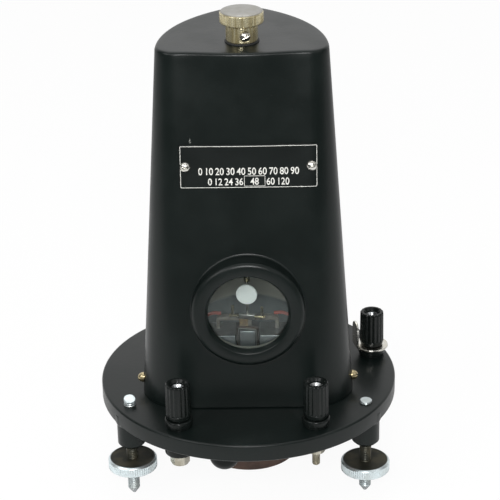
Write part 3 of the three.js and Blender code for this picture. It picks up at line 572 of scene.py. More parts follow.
def round_piece(name, corners, slot, node, body=BODY, around=64, at=(0, 0, 0), finish=None, closed=True,
                steps=3):
    """A dressed piece turned from corners of (radius, height, rounding) and moved to a place."""
    grid = lathe(rounded(corners, closed=closed, steps=steps), around) + at
    return dress(surface(name, [grid]), slot, [node], body, finish)


def slotted(name, place, radius=SCREW_HEAD, height=1.9, length=4.2, slot_turn=0.0):
    """A slotted round-head screw, along Z with its seat at zero until place() puts its points."""
    angle = np.linspace(0, math.pi / 2, 9)
    dome = np.column_stack((radius * np.cos(angle), height * np.sin(angle)))
    shank = ((0, -length), (1.15, -length), (1.4, -length + 0.3), (1.4, 0), (radius - 0.1, 0))
    profile = np.concatenate((shank, dome))
    profile[-1, 0] = 0
    slot = bar((-radius - 1, radius + 1), (-SLOT_WIDTH / 2, SLOT_WIDTH / 2),
               (height - SLOT_DEPTH, height + 1), 0.05)
    piece = surface(name, [place(lathe(profile, 48))])
    return carve(piece, [surface(name + "_slot", [place(turned(slot, z=slot_turn))])])


# Finishes

class Value:
    """A shader socket in a sum: + - and * with a socket or a number add Math nodes."""

    def __init__(self, recipe, socket):
        self.recipe, self.socket = recipe, socket

    def __add__(self, other):
        return self.recipe.maths("ADD", self, other)

    def __sub__(self, other):
        return self.recipe.maths("SUBTRACT", self, other)

    def __rsub__(self, other):
        return self.recipe.maths("SUBTRACT", other, self)

    def __mul__(self, other):
        return self.recipe.maths("MULTIPLY", self, other)

    __radd__, __rmul__ = __add__, __mul__


class Recipe:
    """A node tree being written: node() adds any node, the rest are its common uses."""

    def __init__(self, owner):
        owner.use_nodes = True
        self.tree = owner.node_tree
        self.tree.nodes.clear()

    def node(self, kind, settings=None, inputs=None, output=None):
        """Adds a node, its settings first, then the values or links of its sockets; gives one output."""
        made = self.tree.nodes.new(kind)
        for key, value in (settings or {}).items():
            setattr(made, key, value)
        for key, value in (inputs or {}).items():
            socket = made.inputs[key] if isinstance(key, int) else next(
                s for s in made.inputs if s.enabled and key in (s.name, s.identifier))
            if isinstance(value, Value):
                self.tree.links.new(value.socket, socket)
            else:
                socket.default_value = value
        outputs = [s for s in made.outputs if s.enabled and output in (None, s.name)]
        return Value(self, outputs[0]) if outputs else made

    def maths(self, operation, *values):
        """A Math node on sockets or numbers."""
        return self.node("ShaderNodeMath", {"operation": operation}, dict(enumerate(values)))

    def axis(self, vector, letter):
        """The X, Y or Z of a vector."""
        return self.node("ShaderNodeSeparateXYZ", None, {"Vector": vector}, letter)

    def ray(self, kind):
        """1 for a ray of that kind, else 0."""
        return self.node("ShaderNodeLightPath", output=f"Is {kind} Ray")

    def place(self, scale=(1, 1, 1), location=(0, 0, 0)):
        """The piece's own coordinates in metres, moved and stretched."""
        own = self.node("ShaderNodeTexCoord", output="Object")
        return self.node("ShaderNodeMapping", None, {"Vector": own, "Scale": scale, "Location": location})

    def noise(self, scale, detail=2.0, stretch=(1, 1, 1)):
        """Cloudy noise on the piece's own coordinates, about 0.5."""
        return self.node("ShaderNodeTexNoise", None,
                         {"Vector": self.place(stretch), "Scale": scale, "Detail": detail}, "Fac")

    def ramp(self, value, low, high, to_low=0.0, to_high=1.0):
        """A value eased from low and high to two others, and held beyond them."""
        return self.node("ShaderNodeMapRange", {"interpolation_type": "SMOOTHSTEP"},
                         {"Value": value, "From Min": low, "From Max": high,
                          "To Min": to_low, "To Max": to_high})

    def blend(self, share, first, second):
        """A mix of two colours, each a socket or three numbers."""
        colours = {key: value if isinstance(value, Value) else (*value, 1) for key, value in
                   (("A", first), ("B", second))}
        return self.node("ShaderNodeMix", {"data_type": "RGBA"}, {"Factor": share, **colours}, "Result")

    def bump(self, height, strength, distance):
        """Normals bent by a height, with the distance in metres that a height of 1 stands for."""
        return self.node("ShaderNodeBump", None,
                         {"Height": height, "Strength": strength, "Distance": distance})

    def principled(self, inputs):
        """The Principled shader and the material's output."""
        shader = self.node("ShaderNodeBsdfPrincipled", None, inputs)
        self.node("ShaderNodeOutputMaterial", None, {"Surface": shader})


def tinted(colour, amount):
    """A colour made lighter or darker by a factor."""
    return tuple(min(channel * amount, 1.0) for channel in colour)


def enamel_coat(recipe, colour):
    """What the enamels share: mottling, dust, the colour under both, and the height of the orange peel."""
    mottle = recipe.ramp(recipe.noise(45, 4), 0.35, 0.7)
    dust = recipe.ramp(recipe.noise(1900, 1), 0.74, 0.8)
    paint = recipe.blend(mottle, colour, tinted(colour, 1.25))
    paint = recipe.blend(dust * 0.2, paint, (0.08, 0.085, 0.08))
    return mottle, dust, paint, recipe.noise(420, 2) + recipe.noise(1500, 1) * 0.4


def enamel(recipe, colour, roughness=0.32, peel=0.05):
    """Stoved enamel: faint mottling, orange peel and a little dust."""
    mottle, dust, base, skin = enamel_coat(recipe, colour)
    recipe.principled({"Base Color": base, "Roughness": mottle * 0.06 + roughness + dust * 0.3,
                       "Specular IOR Level": 0.26, "Normal": recipe.bump(skin, peel, 0.0006)})


def metal(recipe, colour, tarnish, roughness=0.22, amount=0.5, grain=0.05):
    """Plated or bare metal: patches of tarnish, small scratches and uneven polish."""
    patch = recipe.ramp(recipe.noise(110, 5), 0.42, 0.68)
    fine = recipe.noise(2600, 2)
    scratch = recipe.noise(900, 3, (1, 0.15, 1))
    base = recipe.blend(patch * amount, colour, tarnish)
    recipe.principled({"Base Color": base, "Metallic": 1.0,
                       "Roughness": patch * 0.12 + fine * 0.08 + (roughness - 0.06),
                       "Normal": recipe.bump(fine + scratch, grain, 0.0002)})


def moulded(recipe, colour, roughness=0.22):
    """Glossy moulded plastic with faint flow marks."""
    flow = recipe.noise(160, 4, (1, 1, 0.3))
    base = recipe.blend(recipe.ramp(flow, 0.4, 0.7) * 0.6, colour, tinted(colour, 1.6))
    recipe.principled({"Base Color": base, "Roughness": flow * 0.16 + roughness - 0.06,
                       "Specular IOR Level": 0.2, "Normal": recipe.bump(recipe.noise(700, 2), 0.06, 0.0003)})


def matt(recipe, colour, second, scale=260.0, roughness=0.7, height=0.2):
    """A matt coat or board: two close tones in small patches over a rough skin."""
    patch = recipe.ramp(recipe.noise(scale, 5), 0.35, 0.65)
    recipe.principled({"Base Color": recipe.blend(patch, colour, second),
                       "Roughness": patch * 0.15 + roughness - 0.1,
                       "Normal": recipe.bump(recipe.noise(scale * 6, 3), height, 0.0004)})


def make_satin_black_paint(recipe, colours):
    """Enamel of the base and the window's ring."""
    enamel(recipe, colours.enamel[:])


def make_cover_paint(recipe, colours):
    """The cover's enamel outside, with one small nick, and its bare casting inside, darker below about 17 mm
    above the base.
    """
    own = recipe.place()
    x, y, z = (recipe.axis(own, letter) for letter in "XYZ")
    inner = recipe.node("ShaderNodeAttribute", {"attribute_name": "inside"}, None, "Fac")
    mottle, dust, paint, skin = enamel_coat(recipe, colours.enamel[:])
    across = recipe.maths("ABSOLUTE", x + 0.0251)
    along = recipe.maths("ABSOLUTE", z - 0.1852)
    nick = recipe.ramp(across + along * 0.3, 0.0002, 0.0007, 1.0, 0.0)
    nick = nick * recipe.ramp(recipe.noise(1500, 2), 0.4, 0.55) * recipe.ramp(y, -0.001, 0.001, 1.0, 0.0)
    paint = recipe.blend(nick * 0.8, paint, (0.25, 0.26, 0.24))
    # the inside is darker below about 17 mm above the base's top
    lower = recipe.ramp(z, 0.0665, 0.0685, 1.0, 0.0)
    cast = recipe.blend(mottle * 0.7, colours.casting[:], tinted(colours.casting[:], 0.8))
    cast = recipe.blend(lower, cast, colours.casting_low[:])
    recipe.principled({"Base Color": recipe.blend(inner, paint, cast),
                       "Roughness": mottle * 0.06 + 0.3 + dust * 0.3 + inner * 0.35,
                       "Specular IOR Level": 0.26, "Normal": recipe.bump(skin, 0.05, 0.0006)})


def make_plate_black(recipe, colours):
    """Darker, duller enamel of the front plate."""
    enamel(recipe, tinted(colours.enamel[:], 0.8), 0.36, 0.03)


def make_figure_white(recipe, colours):
    """Pale filling of the plate's border and figures."""
    matt(recipe, colours.figures[:], tinted(colours.figures[:], 0.8), 900.0, 0.5, 0.1)


def make_black_moulded(recipe, colours):
    """Moulding of the terminals and the resistor."""
    moulded(recipe, colours.moulding[:])


def make_nickel_plate(recipe, colours):
    """Nickel plate with patches gone yellow."""
    metal(recipe, colours.nickel[:], colours.nickel_tarnish[:])


def make_aged_nickel(recipe, colours):
    """Darker nickel of the studs and their nuts."""
    metal(recipe, (0.5, 0.48, 0.41), (0.24, 0.21, 0.14), 0.26, 0.8)


def make_torsion_nickel(recipe, colours):
    """Plating dull on its domed top, and on the head's sides a yellow-olive tone in vertical streaks, a
    painted reflection of warm surroundings.
    """
    top = recipe.ramp(recipe.axis(recipe.place(), "Z"), 0.2418, 0.2424)
    patch = recipe.ramp(recipe.noise(260, 5), 0.4, 0.65)
    # painted reflection: yellow-olive vertical streaks on the sides stand for warm, dark surroundings
    # mirrored in the plating
    reflection_streak = recipe.noise(900, 2, (1, 1, 0.06))
    side = recipe.blend(recipe.ramp(reflection_streak, 0.35, 0.7), (0.66, 0.6, 0.4), (0.42, 0.35, 0.18))
    dome = recipe.blend(patch * 0.4, tinted(colours.nickel[:], 0.5), (0.32, 0.31, 0.27))
    base = recipe.blend(top, side, dome)
    recipe.principled({"Base Color": base, "Metallic": top * 0.25 + 0.75,
                       "Roughness": top * 0.2 + patch * 0.1 + 0.22,
                       "Normal": recipe.bump(recipe.noise(2600, 2), 0.06, 0.0002)})


def make_level_nickel(recipe, colours):
    """Plating painted bright where light falls on it, on the knurled rim, the screw's top and below the disc,
    and painted dark as shade elsewhere, under the base plate.
    """
    lit_share = recipe.node("ShaderNodeAttribute", {"attribute_name": "handled"}, None, "Fac")
    patch = recipe.ramp(recipe.noise(150, 5), 0.4, 0.68)
    fine = recipe.noise(2600, 2)
    # painted shade: near-black plating under the base plate, and painted light: pale blue-white plating where
    # it is lit
    dark = recipe.blend(patch, (0.035, 0.036, 0.028), (0.075, 0.068, 0.045))
    bright = recipe.blend(patch * 0.35, (0.7, 0.78, 0.8), (0.45, 0.46, 0.42))
    recipe.principled({"Base Color": recipe.blend(lit_share, dark, bright), "Metallic": lit_share * 0.3 + 0.6,
                       "Roughness": patch * 0.12 + fine * 0.08 + (0.34 - lit_share * 0.1),
                       "Normal": recipe.bump(fine, 0.06, 0.0002)})


def make_lacquered_brass(recipe, colours):
    """Brass under an old lacquer."""
    metal(recipe, colours.brass[:], tinted(colours.brass[:], 0.45), 0.28, 0.7)


def make_bright_steel(recipe, colours):
    """Bare steel of the magnets, the levelling points and the posts' sockets."""
    metal(recipe, (0.42, 0.44, 0.45), (0.2, 0.19, 0.18), 0.3)


def make_dark_iron(recipe, colours):
    """Machined iron of the poles and the core."""
    metal(recipe, colours.iron[:], tinted(colours.iron[:], 0.6), 0.42, 0.8, 0.12)


def make_brown_paint(recipe, colours):
    """Paint of the magnet's yoke."""
    matt(recipe, colours.yoke[:], tinted(colours.yoke[:], 0.55), 140.0, 0.5)


def make_plain_aluminium(recipe, colours):
    """Dull aluminium of the ring, the hub and the coil's former."""
    metal(recipe, (0.55, 0.55, 0.53), (0.35, 0.34, 0.32), 0.36)


def make_copper_wire(recipe, colours):
    """Enamelled copper wire, nearly brown."""
    metal(recipe, (0.11, 0.075, 0.06), (0.06, 0.05, 0.045), 0.4)


def make_resin_board(recipe, colours):
    """Brown resin board of the coil's tab."""
    matt(recipe, (0.22, 0.145, 0.06), (0.13, 0.08, 0.035), 500.0, 0.5)


def make_dull_bridge(recipe, colours):
    """Brass of the bridge, tarnished to a dull brown."""
    matt(recipe, (0.15, 0.135, 0.115), (0.1, 0.085, 0.07), 300.0, 0.5, 0.1)


def make_mirror_silver(recipe, colours):
    """Silvered glass with a faint bloom, given a near-white, barely metallic colour as a painted reflection
    of the bright room.
    """
    bloom = recipe.noise(700, 3)
    # painted reflection: near-white colour stands for the bright room seen in the mirror
    recipe.principled({"Base Color": recipe.blend(bloom * 0.1, (0.98, 1.0, 1.0), (0.9, 0.93, 0.93)),
                       "Roughness": bloom * 0.1 + 0.1, "Metallic": 0.05})


def make_window_glass(recipe, colours):
    """Clear flat glass, faintly green: a mirror coat by Fresnel over a clear body."""
    smear = recipe.noise(60, 3)
    fresnel = recipe.node("ShaderNodeFresnel", None, {"IOR": 1.5})
    clear = recipe.node("ShaderNodeBsdfTransparent", None, {"Color": (0.96, 0.985, 0.975, 1)})
    gloss = recipe.node("ShaderNodeBsdfPrincipled", None,
                        {"Base Color": (0.8, 0.85, 0.83, 1), "Metallic": 1.0,
                         "Roughness": smear * 0.05 + 0.02})
    shader = recipe.node("ShaderNodeMixShader", None, {0: fresnel * 0.9, 1: clear, 2: gloss})
    recipe.node("ShaderNodeOutputMaterial", None, {"Surface": shader})


def make_black_rubber(recipe, colours):
    """Rubber of the washer under the collar."""
    matt(recipe, (0.010, 0.011, 0.012), (0.018, 0.018, 0.018), 400.0, 0.75)


def make_red_sleeving(recipe, colours):
    """Cotton sleeving: fine crossed threads over dull red."""
    weave = recipe.noise(2200, 1, (1, 1, 0.35))
    recipe.principled({"Base Color": recipe.blend(weave, (0.20, 0.035, 0.025), (0.42, 0.08, 0.06)),
                       "Roughness": weave * 0.1 + 0.75, "Normal": recipe.bump(weave, 0.5, 0.0004)})


FINISHES = {made.__name__[5:]: made for made in (
    make_satin_black_paint, make_cover_paint, make_plate_black, make_figure_white, make_black_moulded,
    make_nickel_plate, make_aged_nickel, make_torsion_nickel, make_level_nickel, make_lacquered_brass,
    make_bright_steel, make_dark_iron, make_brown_paint, make_plain_aluminium, make_copper_wire,
    make_resin_board, make_dull_bridge, make_mirror_silver, make_window_glass, make_black_rubber,
    make_red_sleeving)}


def material(name):
    """The finish of that name, written the first time it is asked for."""
    known = bpy.data.materials.get("finish_" + name)
    if known is None:
        known = bpy.data.materials.new("finish_" + name)
        FINISHES[name](Recipe(known), bpy.context.scene.galvanometer_colours)
    return known


# Properties

def length(name, description, default):
    """A length in metres."""
    return FloatProperty(name=name, description=description, default=default, min=0.0, unit="LENGTH")


def power(name, description, default):
    """The power of a lamp in watts."""
    return FloatProperty(name=name, description=description, default=default, min=0.0, unit="POWER")


def colour(name, description, default):
    """A colour of three linear channels."""
    return FloatVectorProperty(name=name, description=description, default=default, min=0.0, max=1.0,
                               subtype="COLOR", size=3)


class GalvanometerSizes(bpy.types.PropertyGroup):
    """Sizes and counts that can be changed by themselves"""

    base_radius: length("Base radius", "Radius of the round base plate", 0.075)
    base_thickness: length("Base thickness", "Thickness of the base plate", -UNDERSIDE * MM)
    base_edge: length("Base edge", "Rounding of the base plate's upper rim", 0.0011)
    foot_bevel: length("Foot bevel", "Bevel round the foot of the cover", 0.0006)
    roof_edge: length("Roof edge", "Rounding between the cover's walls and roof", 0.0014)
    boss_fillet: length("Boss fillet", "Hollow rounding between the window's boss and the wall", 0.001)
    boss_edge: length("Boss edge", "Rounding of the window's boss", 0.0024)
    cap_flutes: IntProperty(name="Cap flutes", description="Grooves round a terminal cap", default=16, min=3)
    disc_teeth: IntProperty(name="Disc teeth", description="Knurling of a levelling disc", default=64, min=3)
    head_teeth: IntProperty(name="Head teeth", description="Knurling of the torsion head", default=72, min=3)


class GalvanometerColours(bpy.types.PropertyGroup):
    """Colours of the main finishes"""

    enamel: colour("Enamel", "Black enamel of the base and cover", (0.0034, 0.0058, 0.0052))
    casting: colour("Casting", "Bare inside of the cover", (0.56, 0.54, 0.49))
    casting_low: colour("Lower casting", "Inside of the cover near the base", (0.11, 0.13, 0.14))
    moulding: colour("Moulding", "Black terminal mouldings", (0.0045, 0.006, 0.0055))
    nickel: colour("Nickel", "Nickel plate", (0.7, 0.69, 0.65))
    nickel_tarnish: colour("Nickel tarnish", "Yellowed nickel plate", (0.44, 0.39, 0.27))
    brass: colour("Brass", "Aged brass", (0.56, 0.47, 0.28))
    iron: colour("Iron", "Pole pieces and core", (0.4, 0.43, 0.45))
    yoke: colour("Yoke", "Brown paint of the magnet's yoke", (0.085, 0.045, 0.03))
    figures: colour("Figures", "Pale figures and border of the front plate", (0.62, 0.62, 0.58))


class GalvanometerStudio(bpy.types.PropertyGroup):
    """Brightness of the surroundings and power of the lamps"""

    world: FloatProperty(name="World", description="Brightness of the surroundings", default=0.45, min=0.0)
    key: power("Key", "Power of the large lamp on the left", 6.0)
    fill: power("Fill", "Power of the lamp on the right", 1.3)
    top: power("Top", "Power of the lamp overhead", 4.4)
    front: power("Front", "Power of the small lamp that shines into the window", 7.0)


# Pieces

class Builder:
    """What every operator of the pieces shares."""

    bl_options = {"REGISTER", "UNDO"}

    @property
    def sizes(self):
        return bpy.context.scene.galvanometer_sizes

    def millimetres(self, *names):
        """The panel's sizes of those names in millimetres."""
        return [getattr(self.sizes, name) / MM for name in names]


class GALVANOMETER_OT_base(Builder, bpy.types.Operator):
    """The round base plate with its levelling bosses, the cover's lugs and all its holes"""

    bl_idname = "galvanometer.base"
    bl_label = "Base plate"

    def execute(self, context):
        radius, thick, edge = self.millimetres("base_radius", "base_thickness", "base_edge")
        profile = rounded([(0, -thick, 0), (radius - 0.6, -thick, 0.3), (radius, -thick + 0.6, 0.3),
                           (radius, 0, edge), (0, 0, 0)], steps=6)
        piece = surface("base_casting", [lathe(profile, 192)])
        foot = -thick - LEVEL_BOSS_DROP
        side, wide = LEVEL_BOSS_RADIUS, LEVEL_BOSS_RADIUS + 0.7
        boss = rounded([(0, foot, 0), (side - 1.6, foot, 0.4), (side, foot + 1.6, 0.8),
                        (side, -thick - 1.2, 0.5), (wide, -thick + 0.4, 0), (wide, -thick / 2, 0),
                        (0, -thick / 2, 0)])
        solids = [surface("boss", [lathe(boss, 56) + (x, y, 0)]) for x, y in LEVELS.values()]
        for side in (-1, 1):
            across = sorted((side * LUG_X[0], side * LUG_X[1]))
            solids.append(surface("lug", [bar(across, LUG_Y, (-thick / 2, LUG_TOP), 0.6)]))
        carve(piece, solids, "UNION")
        bores = [(0, 0, MAGNET_BORE, 96)] + [(x, y, LEVEL_BORE, 32) for x, y in LEVELS.values()]
        bores += [(x, y, POST_HOLE, 32) for x, y in POSTS.values()]
        bores += [(side * LEAD_HOLE[0], LEAD_HOLE[1], LEAD_BORE, 32) for side in (-1, 1)]
        cutters = []
        for x, y, bore, around in bores:
            rod = [(0, -thick - BORE_BELOW), (bore, -thick - BORE_BELOW), (bore, 1), (0, 1)]
            cutters.append(surface("bore", [lathe(rod, around) + (x, y, 0)]))
        carve(piece, cutters)
        dress(piece, "satin_black_paint", ["base_plate"])
        return {"FINISHED"}


class GALVANOMETER_OT_cover(Builder, bpy.types.Operator):
    """The tapered cover with its window boss, the glass and the ring behind it"""

    bl_idname = "galvanometer.cover"
    bl_label = "Cover and window"

    def execute(self, context):
        edges = self.millimetres("foot_bevel", "roof_edge", "boss_fillet", "boss_edge")
        piece = surface("cover_casting", cover_grids(*edges))
        self.mark_inside(piece.data)
        dress(piece, "satin_black_paint", ["housing_cover"], finish="cover_paint")
        front = BOSS_FRONT + GLASS_SETBACK

        def facing(points):
            return turned(points, x=math.pi / 2) + (WINDOW_X, front, WINDOW_Z)

        wide = GLASS_RADIUS
        pane = rounded([(0, GLASS_BACK, 0), (wide, GLASS_BACK, 0.2), (wide, -0.1, 0.2), (0, -0.1, 0)],
                       steps=2)
        glass = surface("window_pane", [facing(lathe(pane, 96))])
        dress(glass, "window_glass", ["window_glass"])
        top = GLASS_BACK - 0.1
        ring = rounded([(RING_RADIUS, RING_BACK, 0.2), (wide, RING_BACK, 0.2), (wide, top, 0.1),
                        (RING_RADIUS, top, 0.2)], closed=True, steps=3)
        dress(surface("window_retainer", [facing(lathe(ring, 96))]), "satin_black_paint", ["window_ring"])
        return {"FINISHED"}

    def mark_inside(self, mesh):
        """Marks with 1 the points that lie on the inner walls and the roof's underside."""
        points = vertex_places(mesh) / MM - AXIS
        x, y, z = points.T
        rows = cover_rows(np.linspace(0, ROOF_UNDER, 2), WALL / 2)
        share = np.clip(z / ROOF_UNDER, 0, 1)
        outline = mix(rows[0][None, :, :2], rows[1][None, :, :2], share[:, None, None])
        reach = np.linalg.norm(points[:, :2] - (0, 10), axis=1)
        angle = np.arctan2(y - 10, x)
        edge = np.linalg.norm(outline - (0, 10), axis=2)
        turn = np.arctan2(outline[..., 1] - 10, outline[..., 0])
        nearest = np.abs((turn - angle[:, None] + math.pi) % TURN - math.pi).argmin(1)
        limit = edge[np.arange(len(edge)), nearest]
        mark(mesh, "inside", (reach < limit) & (z < ROOF_UNDER + 0.2))


class GALVANOMETER_OT_front_plate(Builder, bpy.types.Operator):
    """The front plate with its border, plain figures and two slotted screws"""

    bl_idname = "galvanometer.front_plate"
    bl_label = "Front plate"

    def execute(self, context):
        x, z = PLATE_SIDES, PLATE_ENDS
        plate = prism(between_rows(rectangle(x, z, 0.6, 4), 1.2), PLATE_BACK, PLATE_FACE, 0.2, 3, 12)
        dress(surface("figure_plate", [self.on_wall(plate)]), "plate_black", ["name_plate"])
        lines = [self.frame_line((x[0] + 0.3, x[1] - 0.3), (z[0] + 0.3, z[1] - 0.3), 0.25),
                 self.frame_line((0.2, 10.2), (113.3, 118.5), 0.22)]
        dress(surface("plate_border", lines), "plate_black", finish="figure_white")
        rows = (("0 10 20 30 40 50 60 70 80 90", 2.4, 119.0, 3.6), ("0 12 24 36", -8.6, 114.0, 3.5),
                ("48", 5.2, 114.1, 3.5), ("60 120", 16.2, 114.0, 3.5))
        for index, (text, centre, foot, height) in enumerate(rows):
            self.figures(f"plate_figures_{index + 1}", text, centre, foot, height)
        for name, side, turn in (("left", -1, -25), ("right", 1, 30)):
            place = self.screw_place(2.3 + side * PLATE_SCREWS)
            screw = slotted(f"plate_screw_{name}", place, slot_turn=math.radians(turn))
            dress(screw, "nickel_plate", [f"name_plate_screw_{name}"])
        return {"FINISHED"}

    def on_wall(self, points):
        """(x, z, lift) to (x, front_depth(x, z) - lift, z)."""
        x, z, lift = points[..., 0], points[..., 1], points[..., 2]
        return np.stack((x, front_depth(x, z) - lift, z), -1)

    def frame_line(self, x, z, width):
        """A raised line round a rectangle on the plate."""
        outer = between_rows(rectangle(x, z, 0.4, 2), 1.5)
        inner = outline_inset(outer, width)
        low, high = LINE_FOOT, LINE_TOP
        rows = [(outer, low), (outer, high), (inner, high), (inner, low), (outer, low)]
        return self.on_wall(np.array([at_height(ring, lift) for ring, lift in rows]))

    def figures(self, name, text, centre, foot, height):
        """Plain figures as thin raised shapes that follow the wall."""
        curve = bpy.data.curves.new(name, "FONT")
        curve.body, curve.align_x, curve.size, curve.resolution_u = text, "CENTER", height * 1.36, 4
        curve.offset, curve.extrude, curve.space_word = 0.05, 0.02, 0.8
        made = new_object(name + "_text", curve)
        mesh = evaluated(made)
        bpy.data.objects.remove(made)
        points = vertex_places(mesh)
        lift = np.where(points[:, 2] > 0, FIGURE_TOP, LINE_FOOT)
        points = self.on_wall(np.column_stack((points[:, 0] * 0.85 + centre, points[:, 1] + foot, lift)))
        mesh.vertices.foreach_set("co", metres(points).ravel())
        mesh.name = name
        finished(mesh)
        dress(new_object(name, mesh), "plate_black", finish="figure_white")

    def screw_place(self, x):
        """A function that seats a screw on the plate, square to the leaning wall."""
        lean = math.atan2(float(front_depth(0.0, PLATE_Z + 1)) - float(front_depth(0.0, PLATE_Z - 1)), 2)

        def place(points):
            seat = (x, float(front_depth(x, PLATE_Z)), PLATE_Z)
            return turned(points + (0, 0, 1.25), x=math.pi / 2 - lean) + seat
        return place


class GALVANOMETER_OT_cover_screws(Builder, bpy.types.Operator):
    """The two brass screws at the foot of the cover's sides"""

    bl_idname = "galvanometer.cover_screws"
    bl_label = "Cover screws"

    def execute(self, context):
        half, wide, corner, _, _ = cover_sizes(SIDE_SCREW_Z)
        seat = half - corner + math.sqrt(corner**2 - min(SIDE_SCREW_Y - wide, 0) ** 2)
        for name, side in (("left", -1), ("right", 1)):
            def place(points, side=side):
                at = (side * (seat + 0.1), SIDE_SCREW_Y, SIDE_SCREW_Z)
                return turned(points, y=side * math.pi / 2) + at
            screw = slotted(f"side_screw_{name}", place, height=3.1, length=8, slot_turn=math.radians(60))
            dress(screw, "lacquered_brass", [f"cover_screw_{name}"])
        return {"FINISHED"}


class GALVANOMETER_OT_torsion_head(Builder, bpy.types.Operator):
    """The torsion head on the roof: clamped collar, washer, knurled head and clamp screw"""

    bl_idname = "galvanometer.torsion_head"
    bl_label = "Torsion head"

    def execute(self, context):
        low, foot, top = SPIGOT_FOOT, COLLAR_FOOT, COLLAR_TOP
        collar = rounded([(2.75, low, 0.3), (5, low, 0.3), (5, foot, 0), (7.3, foot, 0.2),
                          (7.65, foot + 0.5, 0.2), (7.65, top - 0.5, 0.3), (7.15, top, 0.2),
                          (2.75, top, 0.2)], closed=True, steps=3)
        piece = surface("head_collar", [lathe(collar, 96)])

        def ahead(points):
            return turned(turned(points, x=math.pi / 2), z=CLAMP_TURN) + (0, 0, foot + 3.8)

        seat = [(0, 0), (1.5, 0), (1.5, 6.9), (3.05, 7.35), (3.05, 12), (0, 12)]
        carve(piece, [surface("seat", [ahead(lathe(seat, 40))])])
        dress(piece, "nickel_plate", ["torsion_collar"], finish="torsion_nickel")
        washer = [(ROOF_BORE, COVER, 0.1), (8.3, COVER, 0.1), (8.3, foot, 0.25), (ROOF_BORE, foot, 0.1)]
        round_piece("head_washer", washer, "black_rubber", "collar_washer", around=96)
        rim, high = HEAD_RADIUS, HEAD_TOP
        dome = [(9.95 * math.cos(a), high + 1.1 * math.sin(a)) for a in np.linspace(0.12, math.pi / 2, 9)]
        profile = [(0, SPINDLE_FOOT, 0), (SPINDLE_RADIUS, SPINDLE_FOOT, 0.3), (SPINDLE_RADIUS, top + 0.1, 0),
                   (4.5, top + 0.1, 0), (4.5, top + 0.6, 0), (9.9, top + 0.6, 0.2), (rim, top + 1.15, 0.2),
                   (rim, high - 0.5, 0.25), (9.98, high, 0.1)]
        profile = np.concatenate((rounded(profile, steps=3), dome))
        profile[-1, 0] = 0
        knurling = teeth(self.sizes.head_teeth, 0.22, rim, top + 1.3, high - 0.6)
        grid = lathe(between_rows(profile, 2.0), self.sizes.head_teeth * 4, knurling)
        head = surface("head_disc", [grid], 40)
        dress(head, "nickel_plate", ["torsion_head"], "torsion_head", "torsion_nickel")

        def clamped(points):
            return ahead(points + (0, 0, 7.55))
        screw = slotted("head_clamp_screw", clamped, length=4.6, slot_turn=math.radians(25))
        dress(screw, "nickel_plate", ["torsion_clamp_screw"], "torsion_clamp_screw")
        dress_node("collar_nut", "lacquered_brass")
        dress_node("suspension_strip", "lacquered_brass")
        return {"FINISHED"}


class GALVANOMETER_OT_magnet(Builder, bpy.types.Operator):
    """Magnets, pole pieces, yoke, clamp ring and the damping resistor beside them"""

    bl_idname = "galvanometer.magnet"
    bl_label = "Magnet system"

    def execute(self, context):
        for name, side in (("left", -1), ("right", 1)):
            foot = prism(self.segment(side, MAGNET_RADIUS, POLE_HALF_GAP), UNDERSIDE, 2.0, 0.25)
            across = sorted((side * POLE_HALF_GAP, side * 20.0))
            block = surface("block", [bar(across, (-3.6, 12), (1, 22), 0.3)])
            pole = carve(surface(f"pole_piece_{name}", [foot]), [block], "UNION")
            dress(pole, "dark_iron", [f"pole_{name}"])
            segment = self.segment(side, MAGNET_RADIUS, MAGNET_HALF_GAP)
            magnet = surface(f"magnet_slab_{name}", [prism(segment, MAGNET_FOOT, UNDERSIDE - 0.1, 0.6)])
            dress(magnet, "bright_steel", [f"magnet_{name}"])
        disc = MAGNET_FOOT - 0.1
        yoke = [(0, YOKE_FOOT, 0), (YOKE_RADIUS, YOKE_FOOT, 1.2), (YOKE_RADIUS, disc, 0.5), (1.5, disc, 0.3),
                (1.5, disc + 3, 0.4), (0, disc + 3, 0)]
        round_piece("yoke_disc", yoke, "brown_paint", "magnet_yoke", around=128, closed=False, steps=5)
        top = UNDERSIDE - SEAM
        ring = [(MAGNET_BORE, -13.9, 0.3), (27.8, -13.9, 0.5), (27.8, top, 0.2), (MAGNET_BORE, top, 0.2)]
        round_piece("magnet_band", ring, "plain_aluminium", "magnet_clamp_ring", around=128)
        lump = [(0, -26.2, 0), (7.7, -26.2, 7.2), (7.7, 0, 0.3), (0, 0, 0)]
        round_piece("resistor_case", lump, "black_moulded", "damping_resistor", at=(-12.1, -36, top),
                    closed=False, steps=14)
        return {"FINISHED"}

    def segment(self, side, radius, gap):
        """The outline of the part of a disc that lies beyond a flat on one side."""
        swing = math.acos(gap / radius)
        angle = np.linspace(-swing, swing, 57) + (0 if side > 0 else math.pi)
        arc = radius * np.column_stack((np.cos(angle), np.sin(angle)))
        return between_rows(np.concatenate((arc, arc[:1])), 1.5)


